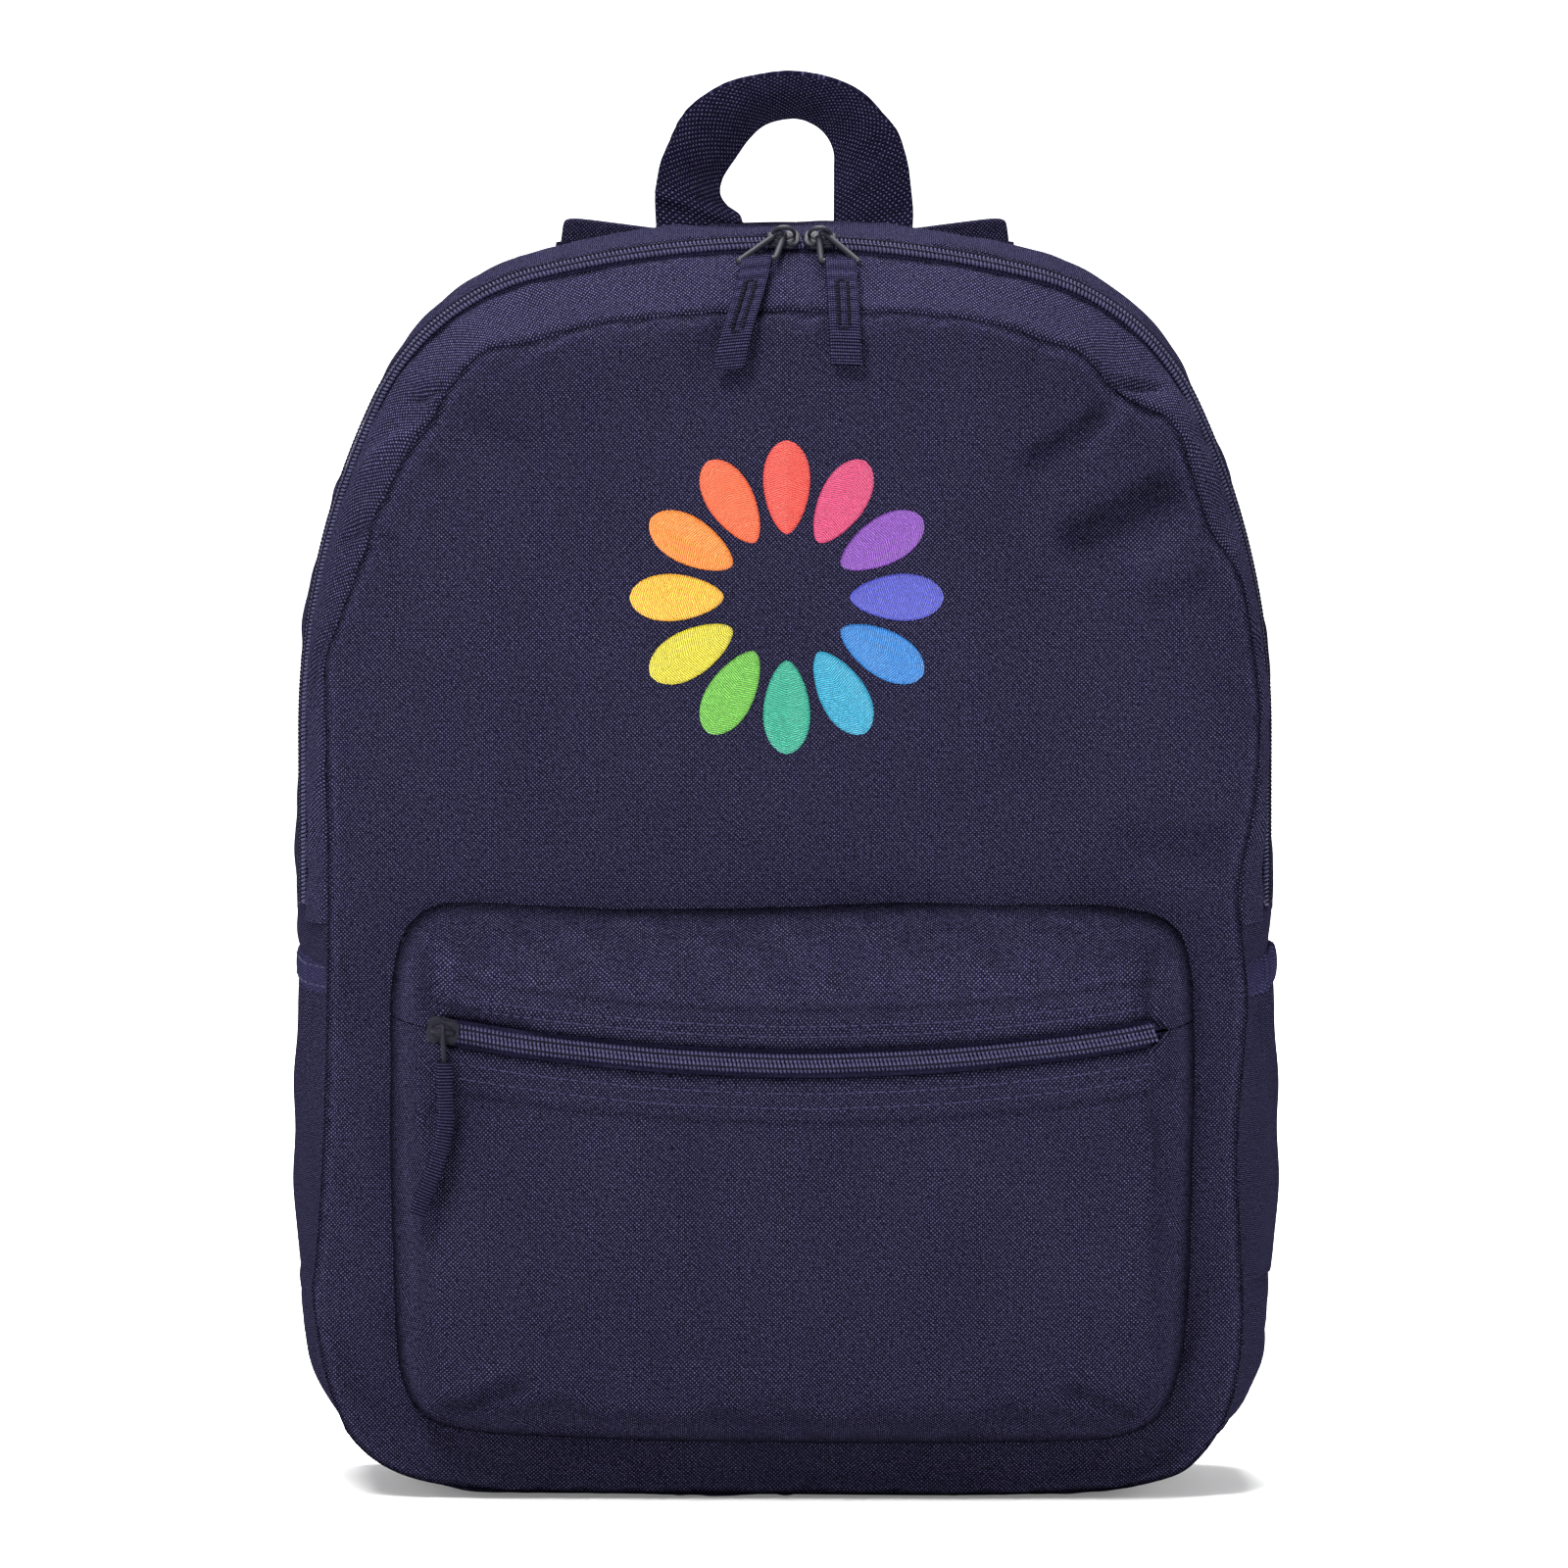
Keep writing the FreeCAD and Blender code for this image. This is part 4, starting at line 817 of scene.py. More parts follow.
def main_zip():
    """Two tapes and two coil rows round the arch; the front ones go with the flap."""
    places = np.linspace(0.985, 3.015, 900)
    middle, down = strip_point(places, 0.5), unit(strip_point(places, 0.0) - strip_point(places, 1.0))
    up = unit(np.cross(down, unit(np.gradient(middle, axis=0))))
    up = up * np.sign(np.sum(up * (middle - np.array([0, -38, 200.0])), -1, keepdims=True))
    facing = np.sign(np.sum(frames_along(middle, up)[1] * down))
    longer = np.linspace(0.966, 3.034, 900)
    tape_up = at(up, np.clip((longer - 0.985) / 2.03, 0, 1))
    for row, side, body, phase, edges in (("front", 1, "front_flap", 0.0, (-0.16, 0.46)),
                                          ("rear", -1, "bag", math.pi, (1.16, 0.54))):
        points = np.stack([strip_point(longer, share) - tape_up * drop
                           for share, drop in zip(np.linspace(*edges, 9), np.linspace(3.4, 0.3, 9))], 1)
        tape = grid_mesh("main_tape_" + row, points, TAPE, cloth_of(points), thick=0.5)
        tie(tape, body, None, "main_zip_tape_" + row)
        coil_row("main_coil_" + row, middle + up * 0.8, up, side * facing * 1.45, phase, body,
                 "main_zip_coil_" + row)


main_zip()


# ---------------------------------------------------------------- stitching

def stitch_points(path, normal, length=2.5, gap=0.9, width=0.55, high=0.28, seed=1):
    """Sewn dashes along a path, each a small loaf that dips at its ends: a list of (points, faces)."""
    total = running(path)[-1]
    rng = np.random.default_rng(seed)
    loaf = np.array([(-0.5, 0.0), (-0.32, 0.8), (0.0, 1.0), (0.32, 0.8), (0.5, 0.0)])
    lift = np.array([-0.25, 0.6, 1.0, 0.6, -0.25])[:, None, None] * high
    size = np.array([0.55, 0.95, 1.0, 0.95, 0.55])[:, None, None]
    dashes = []
    for i in range(max(1, int(total / (length + gap)))):
        start = (i * (length + gap) + gap / 2 + rng.uniform(-0.1, 0.1)) / total
        s = np.clip(start + np.array([0.0, 0.18, 0.5, 0.82, 1.0]) * length / total, 0, 1)
        p = at(path, s)
        _, across, up = frames_along(p, at(normal, s))
        points = (p[:, None] + across[:, None] * (loaf[None, :, :1] * width * size)
                  + up[:, None] * ((loaf[None, :, 1:] - 0.5) * high * size + lift))
        dashes.append((points.reshape(-1, 3), grid_faces(5, 5)))
    return dashes


def stitches(name, runs, body):
    """Sewn dashes along (path, normals) runs, as one piece."""
    dashes = [dash for k, (path, normal) in enumerate(runs)
              for dash in stitch_points(path, normal, seed=7 + k)]
    tie(make_mesh(name, *merged(dashes), THREAD), body, "thread")


# ---------------------------------------------------------------- front pocket

POCKET_LINE = smooth_line([(-128, 60), (-129.5, 110), (-129.5, 150), (-129, 170), (-125.5, 187), (-117, 196),
                           (-103, 198.5), (-60, 196.5), (-14, 196), (40, 198), (85, 198), (112, 196),
                           (127, 191),
                           (133, 178), (134.5, 150), (134, 118), (132.5, 70), (130, 46), (124, 30),
                           (112, 22.5),
                           (90, 20.5), (40, 20), (-30, 20.5), (-75, 22), (-104, 24), (-119, 29), (-126, 42),
                           (-128, 60)], 900)
POCKET_FOLDS = [([(-117, 189), (-117.5, 178), (-117.5, 168), (-116, 160)], 4.6, -1.5),
                ([(-109, 187), (-110, 178), (-110, 168)], 5.0, 0.9),
                ([(-118, 170), (-108, 165), (-98, 162.5), (-78, 160.5)], 4.2, -1.4),
                ([(122, 189), (119.5, 178), (118.5, 168), (120, 160)], 4.6, -1.4),
                ([(128, 184), (126, 172), (126, 164)], 4.0, 0.7),
                ([(121.5, 148), (122, 120), (121, 80), (120, 50)], 3.6, -0.7),
                ([(-119, 27), (-104, 34), (-80, 43)], 5.2, -1.2),
                ([(-116, 35), (-102, 42), (-84, 51)], 6.0, 0.8),
                ([(118, 28), (104, 36), (88, 41)], 4.0, -1.2)]
POCKET_BACK_Y, POCKET_LEFT, POCKET_RIGHT = -70.5, -129.5, 134.5
ZIP_MIDDLE_X, ZIP_CENTRE_Z, ZIP_RADIUS = 6.5, 813.4, 666.0


def zip_height(x):
    """The pocket zip's middle line: a shallow arc that rises to both ends."""
    return ZIP_CENTRE_Z - np.sqrt(ZIP_RADIUS ** 2 - (np.asarray(x) - ZIP_MIDDLE_X) ** 2)


def pocket_relief(x, z, d):
    """How far the pocket stands forward of the panel, d inside its outline."""
    reach = 17.0 + 15.0 * step(z, 140, 182) * (1 - step(np.abs(x), 95, 125))
    h = 25.5 * (1 - (1 - np.clip(d / reach, 0, 1)) ** 2.3) ** 0.62
    crown = 0.75 + 0.25 * np.sin(np.clip((z - 20) / 130, 0, 1) * math.pi)
    return h + 7.0 * fill(np.maximum(d - 6, 0), 34.0) * crown


def pocket_point(xz, smooth=False):
    """The pocket's face over points in its plan, with each one's distance inside the outline."""
    d = distance_to(POCKET_LINE, xz)
    x, z = xz[..., 0], xz[..., 1]
    h = pocket_relief(x, z, d)
    if not smooth:
        h = h + 1.1 * ripple(x, z, 66.0, 61) * fill(d, 18) + 0.25 * ripple(x, z, 24.0, 62) * fill(d, 8)
        h = h + creases(xz, POCKET_FOLDS)
    weight = np.clip(d / 30.0, 0, 1)
    under = panel_depth(distance_to(SEAM_LINE, xz)) * (1 - weight) + POCKET_BACK_Y * weight
    return np.stack([x, under - h, z], -1), d


def surplus(points, axis):
    """How much longer the surface runs than its plan, from the middle outwards or up from its edge."""
    extra = running(points, axis) - running(points[..., [0, 2]], axis)
    return extra - (extra[points.shape[0] // 2][None] if axis == 0 else 0)


def pocket_gap(x):
    """Half the opening between the two folded edges at the zip."""
    return 0.2 + 5.25 * step(x, -119, -110) * (1 - step(x, 119, 127))


def outline_part(start, end):
    """The pocket outline from one point to another, clockwise."""
    i, j = [int(np.argmin(np.sum((POCKET_LINE - np.asarray(p)) ** 2, 1))) for p in (start, end)]
    return POCKET_LINE[i: j + 1] if i <= j else np.concatenate([POCKET_LINE[i:], POCKET_LINE[:j + 1]])


def pocket_sheet(name, upper, rows, corners, seams, seed, dark_line):
    """One of the pocket's two sheets, between the zip and the outline, with its two sewn lines."""
    sign = 1 if upper else -1
    ends = [(x, zip_height(x)) for x in (POCKET_LEFT, POCKET_RIGHT)]
    line = outline_part(*ends) if upper else outline_part(*ends[::-1])[::-1]
    a, b = [int(np.argmin(np.sum((line - np.array(c)) ** 2, 1))) for c in corners]
    zip_xs = np.linspace(POCKET_LEFT, POCKET_RIGHT, 500)
    edge = np.stack([zip_xs, zip_height(zip_xs) + sign * pocket_gap(zip_xs)], 1)
    left, right = np.concatenate([edge[:1], line[1: a + 1]]), np.concatenate([edge[-1:], line[b:][::-1][1:]])
    vs = np.concatenate([[0, 0.004, 0.010, 0.02, 0.035], np.linspace(0.05, 1, rows)])
    vs = np.where(vs > 0.5, 1 - (1 - vs) ** 1.6 * 0.5 ** -0.6, vs)
    xz = coons(edge, right, line[a: b + 1], left, spread(191, 2.0), vs)
    x, z = xz[..., 0], xz[..., 1]
    points, d = pocket_point(xz)
    from_zip = (z - zip_height(x)) * sign - pocket_gap(x)
    open_here = step(x, -122, -112) * (1 - step(x, 121, 130))
    shift = (-1.7 * np.exp(-np.maximum(from_zip, 0) / 0.9) + 1.1 * bell(from_zip - 3.0, 5.0)
             - 0.45 * sum(bell(from_zip - k, 0.9) for k in seams)) * open_here
    if upper:
        shift = shift + 3.4 * bell(from_zip - 13, 11.0) * fill(d, 12)
    shift = shift + 0.28 * ripple(x, from_zip * 0.3, 9.0, seed) * np.exp(-np.abs(from_zip - 8) / 7.0)
    points[..., 1] -= shift * fill(d, 3.0)
    # Painted shade in the folds' valleys, along the outline and in the zip's opening, painted highlights on
    # fold ridges, just inside the outline and over the pocket's top; a darker line at dark_line from the zip.
    tone = fold_painted_shade(creases(xz, POCKET_FOLDS)) + 0.7 * bell(d, 2.2) - 0.18 * bell(d - 5.0, 2.0)
    tone = tone + 0.55 * bell(np.maximum(from_zip, 0), 1.3) * open_here
    tone = tone + 0.3 * bell(from_zip - dark_line, 1.2) * (0.3 + 0.7 * open_here)
    tone = tone - 0.24 * step(z, 158, 176) * (1 - bell(d, 5.0))
    plain_points = pocket_point(xz, smooth=True)[0]
    cloth = np.stack([x + surplus(plain_points, 0), z + sign * surplus(plain_points, 1), tone], -1)
    held = (d < 2.5) | (from_zip < 8.5)
    coarse = (slice(None, None, 2), slice(None, None, 2))
    moved = settle(points[coarse][:, ::sign], held[coarse][:, ::sign], 1.2, 0.014, 2.2)[:, ::sign]
    points = points + finer(moved, points.shape[:2])
    return grid_mesh(name, points, OXFORD, cloth, thick=0.9, flip=upper), points


pocket_upper, points = pocket_sheet("pocket_upper_cloth", True, 66, ((-125.5, 187), (127, 191)), (3.6, 7.0),
                                    71, 12.4)
tie(pocket_upper, "bag", None, "pocket_upper_panel")
sewn_sheet(pocket_upper, points, "front_panel_lower", "pocket_zip_tape_upper")
pocket_lower, points = pocket_sheet("pocket_lower_cloth", False, 122, ((-120, 29), (124, 30)), (4.3, 9.2), 73,
                                    14.0)
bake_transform(pocket_lower)
sewn_sheet(pocket_lower, points, "front_panel_lower", "pocket_zip_tape_lower")
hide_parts("pocket_lower_panel", "pocket_gusset_left", "pocket_gusset_right")


def pocket_zip():
    """The pocket's coil rows and tapes behind its two folded edges. Returns the chain's middle line."""
    x = np.linspace(-115, 122, 500)
    chain = pocket_point(np.stack([x, zip_height(x)], 1))[0] + np.array([0, 1.2, 0])
    chain[:, 1] = np.convolve(np.pad(chain[:, 1], 12, "edge"), np.ones(25) / 25, "valid")
    up = same((0, -1, 0), 500)
    facing = np.sign(np.sum(frames_along(chain, up)[1][:, 2]))
    wide_x = np.linspace(-125, 131, 500)
    ends = (step(-wide_x, 112, 122) + step(wide_x, 121, 129))[:, None]
    for row, side, body, phase in (("upper", 1, "bag", 0.0), ("lower", -1, "pocket_front", math.pi)):
        coil_row("pocket_coil_" + row, chain + up * 0.9, up, side * facing * 1.45, phase, body,
                 "pocket_zip_coil_" + row)
        xz = np.stack([np.stack([wide_x, zip_height(wide_x) + side * (0.4 + 8.6 * share)], 1)
                       for share in np.linspace(0, 1, 8)], 1)
        points = pocket_point(xz)[0]
        points[..., 1] += 1.7 + 2.0 * ends
        tape = grid_mesh("pocket_tape_" + row, points, TAPE, cloth_of(points), thick=0.5, flip=side > 0)
        tie(tape, body, None, "pocket_zip_tape_" + row)
    return chain


chain = pocket_zip()
for name, sheet, side, x0, seams, body in (("upper", pocket_upper, 1, -100, (3.6, 7.0), "bag"),
                                           ("lower", pocket_lower, -1, -108, (4.3, 9.2), "pocket_front")):
    tree, xs = surface_tree(sheet), np.linspace(x0, 121, 300)
    stitches("pocket_%s_stitches" % name,
             [onto(tree, np.stack([xs, zip_height(xs) + side * (5.45 + k)], 1), 0.1) for k in seams], body)


# ---------------------------------------------------------------- sliders, pullers and pull tabs

def slider_piece(name, origin, axes, body, cad, nose=9.2, tail=6.6, long=10.6):
    """A slider: a shield-shaped domed plate, wide where the coils part, two flanges and a bridge."""
    half = smooth_line([(-long / 2, tail * 0.42), (-long / 2 + 1.2, tail / 2), (0, tail / 2 + 0.1),
                        (long / 2 - 3.2, nose / 2), (long / 2 - 1.0, nose / 2 - 0.5),
                        (long / 2, nose * 0.22)], 24)
    axes, origin = np.array(axes, float), np.asarray(origin)
    parts = [plate_shape(np.concatenate([half, (half * np.array([1, -1]))[::-1]]), axes, origin, 1.7, 2.9,
                         0.35)]
    for side in (-1, 1):
        rim = np.array([(-4.6, side * (tail / 2 - 0.1), 1.7), (-2, side * tail / 2, 1.5),
                        (1.4, side * (nose / 2 - 0.5), 1.5), (3.6, side * (nose / 2 - 0.4), 1.6)])
        parts.append(rod(even(rim, 12) @ axes + origin, 0.75, axes[2]))
    a = np.linspace(0, math.pi, 20)
    bridge = np.stack([-np.cos(a) * 3.7, np.zeros(20), 2.9 + np.sin(a) ** 0.7 * 3.9], 1)
    parts.append(rod(bridge @ axes + origin, 0.62, axes[2] + axes[0] * 0.01, flat=1.7))
    boss = arc(0, 0, 1.0, 0, 350, 30) * np.array([3.4, 2.2])
    parts.append(plate_shape(boss, axes, origin, 2.8, 3.4, 0.5))
    tie(make_mesh(name, *merged(parts), METAL), body, "slider_metal", cad)


def puller_wire(name, ring, count, up, flat, body):
    """A puller: one wire bent into a closed ring."""
    wire = rod(even(np.array(ring), count), 0.75, up, flat=flat)
    tie(make_mesh(name, *wire, METAL), body, "slider_metal", body)


def tab_ribbon(name, path, across, width, thick, body, ribs, grooved=True, swell=0.0):
    """A folded webbing pull: two layers with ribs across, closed by a fold at its end."""
    across = unit(same(across, len(path)))
    normal = unit(np.cross(unit(np.gradient(path, axis=0)), across))
    dist = running(path)[:, None]
    share = np.linspace(-1, 1, 17)[None]
    long = dist[-1, 0]
    half = thick / 2 * (1 + swell * bell(dist - long + 2.0, 2.0)) * (1 - 0.25 * np.abs(share) ** 6)
    rib = 0.28 * np.abs(np.sin(math.pi * dist / ribs)) ** 0.8
    inside = step(dist, long * 0.27, long * 0.33) * (1 - step(dist, long * 0.72, long * 0.78))
    groove = 0.55 * grooved * inside * bell(np.abs(share) - 0.25, 0.16)
    wide = share * (width / 2 + 0.6 * 0.12 * np.sin(math.tau * dist / (2 * ribs)))
    wide = np.concatenate([wide, wide[:, ::-1]], 1)[..., None]
    high = np.concatenate([half + rib * (1 - share ** 8) - groove, -half[:, ::-1] - rib], 1)[..., None]
    points = path[:, None] + across[:, None] * wide + normal[:, None] * high
    cloth = np.zeros(points.shape)
    cloth[..., 0] = np.concatenate([share, share[:, ::-1] + 3], 1) * width / 2
    cloth[..., 1] = dist
    tie(make_mesh(name, points, tube_faces(*points.shape[:2]), TAB, cloth), body, "webbing", body)


def box_stitch(name, path, across, body, lift=1.35, start=0.26, end=0.74, half=1.7):
    """The box of dark stitching that closes a folded pull tab."""
    across = unit(across)
    normal = unit(np.cross(unit(np.gradient(path, axis=0)), across))
    shares, parts = np.linspace(start, end, 40), []
    for side in (-1, 1):
        line = at(path + across * side * half + normal * lift, shares)
        parts += stitch_points(line, at(normal, shares), 1.5, 0.25, 1.3, 0.5, seed=5 + side)
    for share in (start, end):
        line = at(path + normal * lift, [share]) + across * np.linspace(-half, half, 8)[:, None]
        parts += stitch_points(line, same(at(normal, [share])[0], 8), 1.2, 0.2, 1.2, 0.5, seed=9)
    tie(make_mesh(name, *merged(parts), TAB_THREAD), body, "thread")


MAIN_PULLS = {
    # where the slider stands, the puller's pivot, the middle and direction of its low bar, the tab's path
    "left": (-0.4, (-1.6, -41.0, 417.2), (-9.5, -50.3, 409.3), (0.985, 0.0, 0.10),
             [(-9.3, -50.6, 409.8), (-10.4, -57.5, 404.3), (-12.2, -66.5, 398.0), (-14.7, -74.5, 390.6),
              (-16.9, -79.0, 383.0), (-18.6, -80.4, 375.2)]),
    "right": (11.5, (12.6, -41.0, 417.0), (18.3, -50.0, 408.8), (0.999, 0.0, -0.03),
              [(18.4, -50.6, 409.2), (18.7, -57.5, 404.2), (19.1, -66.5, 398.0), (19.5, -74.5, 390.6),
               (19.9, -79.0, 383.0), (20.2, -80.2, 376.6)])}
TOP_RADIUS, SLIDER_TOP, STRIP_TILT = 341, 413.9, math.radians(31)

for side, sign in SIDES:
    meet, pivot, bar, reach, way = MAIN_PULLS[side]
    pivot, bar, reach = np.array(pivot), np.array(bar), unit(reach)
    spot = np.array([meet, -38.0, SLIDER_TOP - TOP_RADIUS + math.sqrt(TOP_RADIUS ** 2 - meet ** 2)])
    turn = meet / TOP_RADIUS
    along = np.array([-sign * math.cos(turn), 0.0, sign * math.sin(turn)])
    up = np.array([math.sin(turn), -math.sin(STRIP_TILT), math.cos(STRIP_TILT)])
    up = unit(up - along * (up @ along))
    slider_piece("main_slider_body_" + side, spot, [along, np.cross(up, along), up], "main_slider_" + side,
                 "main_slider_" + side)
    low_a, low_b = bar - reach * 6.3, bar + reach * 6.3
    puller_wire("main_puller_wire_" + side,
                [pivot - reach * 1.5, low_a * 0.9 + pivot * 0.1 - reach * 0.2, low_a, low_a + reach * 1.4,
                 bar,
                 low_b - reach * 1.4, low_b, low_b * 0.9 + pivot * 0.1 + reach * 0.2, pivot + reach * 1.5,
                 pivot + np.array([0, -0.4, 0.9]), pivot - reach * 1.5],
                70, (0.0, -1.0, 0.9), 1.5, "main_puller_" + side)
    path, tab = smooth_line(way, 130), "main_pull_tab_" + side
    tab_ribbon("main_pull_webbing_" + side, path, reach, 10.2, 2.3, tab, 1.3, swell=0.35)
    box_stitch("main_pull_box_stitch_" + side, path, reach, tab)


def pocket_pull():
    """The pocket's slider stands at the left end of its zip, its puller and tab seen from the side."""
    x = -112.6
    y = float(np.interp(x, chain[:, 0], chain[:, 1]))
    slope = math.atan2(zip_height(-108) - zip_height(-117), 9.0)
    along, up = np.array([-math.cos(slope), 0.0, -math.sin(slope)]), np.array([0, -1.0, 0])
    slider_piece("pocket_slider_body", (x, y, float(zip_height(x))), [along, np.cross(up, along), up],
                 "pocket_slider", "pocket_slider", nose=9.0, tail=7.2)
    puller_wire("pocket_puller_wire",
                [(x, y - 7.0, 161.0), (-112.9, y - 3.4, 157.0), (-112.4, y - 4.2, 151.0),
                 (-112.0, y - 5.6, 147.2),
                 (-112.0, y - 8.2, 146.6), (-112.0, y - 9.4, 148.0), (-112.4, y - 9.4, 155.0),
                 (x, y - 7.0, 161.0)],
                60, (1.0, 0.0, 0.02), 1.0, "pocket_puller")
    path = smooth_line([(-112.2, y - 7.5, 148.2), (-112.0, y - 8.4, 140), (-111.8, y - 9.2, 131),
                        (-112.8, y - 10.0, 122), (-115.8, y - 10.6, 112), (-119.0, y - 11.0, 104),
                        (-121.0, y - 11.2, 98.5)], 130)
    tab_ribbon("pocket_pull_webbing", path, (0.10, -1.0, 0.0), 9.6, 5.0, "pocket_pull_tab", 1.35,
               grooved=False)


pocket_pull()

# ---------------------------------------------------------------- handle

HANDLE_OUT = [(-42.9, 405), (-43.0, 413), (-43.3, 425.8), (-40.7, 437.1), (-33.2, 452), (-23.4, 459.7),
              (-13, 463.4), (0.3, 465.3), (13.7, 463.7), (24.1, 459.1), (34.8, 449), (40, 439.5),
              (42.3, 425.8), (42.7, 413.3), (42.5, 405)]
HANDLE_IN = [(-17.5, 405), (-14.3, 411.5), (-14.7, 417.6), (-19.2, 421.1), (-21.5, 424.9), (-20.5, 430.1),
             (-16.3, 436.5), (-11.7, 442.9), (-6.5, 447.4), (0.3, 449.3), (6.2, 449.0), (12.4, 445.4),
             (16.0, 439.3), (16.3, 431.3), (16.3, 413.3), (17.3, 405)]


def handle_piece():
    """Webbing standing up in a loop: ruled between its outer and its inner edge, the top leaning forward."""
    out, inner = smooth_line(HANDLE_OUT, 260), smooth_line(HANDLE_IN, 260)
    rise = np.clip((out[:, 1] - 417.0) / 47.0, 0, 1)
    lean = np.sin(rise * math.pi / 2) ** 2
    share = np.linspace(0, 1, 26)[None]
    a = np.stack([out[:, 0], 60 - 13.0 * lean, out[:, 1]], 1)
    b = np.stack([inner[:, 0], 60 + 8.0 * lean, inner[:, 1]], 1)
    points = a[:, None] * (1 - share)[..., None] + b[:, None] * share[..., None]
    along = running(a)[:, None] + 0 * share
    points[..., 1] += (0.20 * np.sin(math.tau * along / 5.2) * rise[:, None] ** 2
                       + 0.35 * ripple(along, share * 25, 17.0, 90)
                       - 2.6 * np.sin(math.pi * share) * rise[:, None])
    fold_z = 424.8 - (points[..., 0] + 43) * 0.33
    points[..., 1] -= 1.5 * bell(points[..., 2] - fold_z, 2.2) * (points[..., 0] < 0)
    cloth = np.stack([share * 25.4 + 0 * along, along], -1)
    handle = grid_mesh("handle_webbing", points, WEBBING, cloth, thick=2.2, flip=True)
    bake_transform(handle)
    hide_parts("handle", "handle_end_left", "handle_end_right")
    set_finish(handle, "webbing")


handle_piece()

# ---------------------------------------------------------------- embroidered ring of petals

PETAL_COLOURS = [(0.62, 0.045, 0.028), (0.48, 0.03, 0.11), (0.155, 0.036, 0.30), (0.045, 0.05, 0.36),
                 (0.008, 0.14, 0.42), (0.006, 0.24, 0.38), (0.01, 0.27, 0.17), (0.10, 0.34, 0.03),
                 (0.52, 0.44, 0.015), (0.74, 0.34, 0.012), (0.74, 0.18, 0.012), (0.68, 0.085, 0.018)]
PETAL_RISE = ((1.0, -0.5), (0.965, 0.55), (0.90, 1.0), (0.80, 1.12), (0.65, 1.2), (0.45, 1.28), (0.25, 1.3),
              (0.04, 1.3))


def petal(number, colour, count=72, inner=20.5, length=31.5, wide=15.6):
    """One embroidered petal of the ring, its edge a raised cord of thread, laid on the panel."""
    a = math.tau / 12 * number
    axes = np.array([(math.sin(a), math.cos(a)), (math.cos(a), -math.sin(a))])
    q = np.linspace(0, math.tau, count, endpoint=False)
    along = length / 2 * np.cos(q)
    across = wide / 2 * np.sin(q) * (1.0 + 0.20 * np.cos(q)) * np.abs(np.sin(q)) ** 0.12
    local = np.concatenate([np.stack([inner + length / 2 + along * k, across * k, np.full(count, h)], 1)
                            for k, h in PETAL_RISE])
    points = onto(panel_tree, np.array([0.6, 299.7]) + local[:, :2] @ axes)[0]
    points[:, 1] -= local[:, 2] * 0.9
    cloth = np.stack([local[:, 0] + 0.35 * np.abs(local[:, 1]), local[:, 1], local[:, 2]], 1)
    faces = grid_faces(len(PETAL_RISE), count, wrap_v=True) + tube_faces(len(PETAL_RISE), count)[-1:]
    obj = make_mesh("badge_petal_%02d" % (number + 1), points, faces, satin("satin_%02d" % number, colour),
                    cloth)
    tie(obj, "front_flap", "embroidery", "embroidered_badge")


for number, colour in enumerate(PETAL_COLOURS):
    petal(number, colour)


# ---------------------------------------------------------------- side pockets

def side_strip(places, count):
    """A strip of the side wall: its points, normals, cloth, and its shares up and across."""
    base, n = shell(places, np.linspace(-64.5, 48.5, count))
    cloth = cloth_of(base)
    share = np.linspace(0, 1, len(places))[:, None] + np.zeros(count)
    return base, n, cloth, share, np.sin(np.pi * (cloth[..., 1] / cloth[..., 1][:, -1:]))


def side_pocket(side, sign):
    """An open pocket of the same cloth, gathered into an elastic hem."""
    def round_bag(start, end, count):
        places = np.linspace(start, end, count)
        return places if sign > 0 else 4 - places
    base, n, cloth, share, edge = side_strip(round_bag(0.612, 0.905, 110), 90)
    along, across, edge = cloth[..., 0], cloth[..., 1], edge ** 0.5
    belly = 1.6 * np.sin(np.pi * share ** 0.8) * edge
    gather = 0.75 * np.sin(across / 7.2 * math.tau + 1.5 * ripple(across, share * 20, 30.0, 97))
    soft = 1.0 * ripple(along, across, 42.0, 98) * edge * (1 - share ** 3)
    lift = belly + gather * step(share, 0.45, 1.0) ** 1.5 * edge + soft - 1.3 - 1.2 * (1 - edge)
    points = base + n * lift[..., None]
    body = grid_mesh("side_pocket_cloth_" + side, points, OXFORD, cloth, thick=0.8)
    tie(body, "bag", None, "side_pocket_" + side)
    sewn_sheet(body, points, "side_panel_" + side)
    base, n, cloth, share, edge = side_strip(round_bag(0.898, 0.934, 18), 200)
    across, edge = cloth[..., 1], edge ** 0.4
    gather = 0.65 * np.sin(across / 5.2 * math.tau + 1.8 * ripple(across, share, 26.0, 99)) * edge
    lift = 1.3 * np.sin(np.pi * share) ** 0.5 + gather - 1.5 - 1.2 * (1 - edge)
    points = base + n * lift[..., None]
    hem = grid_mesh("side_pocket_hem_cloth_" + side, points, BINDING, cloth, thick=1.2)
    tie(hem, "bag", None, "side_pocket_hem_" + side)
    sewn_sheet(hem, points, "side_pocket_" + side)
    for row in (4, 13):
        stitches("side_pocket_hem_stitches_%s_%d" % (side, row), [(points[row] + n[row] * 0.1, n[row])],
                 "bag")


for side, sign in SIDES[::-1]:
    side_pocket(side, sign)

# ---------------------------------------------------------------- the back

CHANNEL_X = 58
BACK_CHANNELS = [[(x, 40), (x, 366)] for x in (-CHANNEL_X, CHANNEL_X)]
BACK_CHANNELS += [[(-CHANNEL_X, z), (CHANNEL_X, z)] for z in (366, 40, 150, 260)]


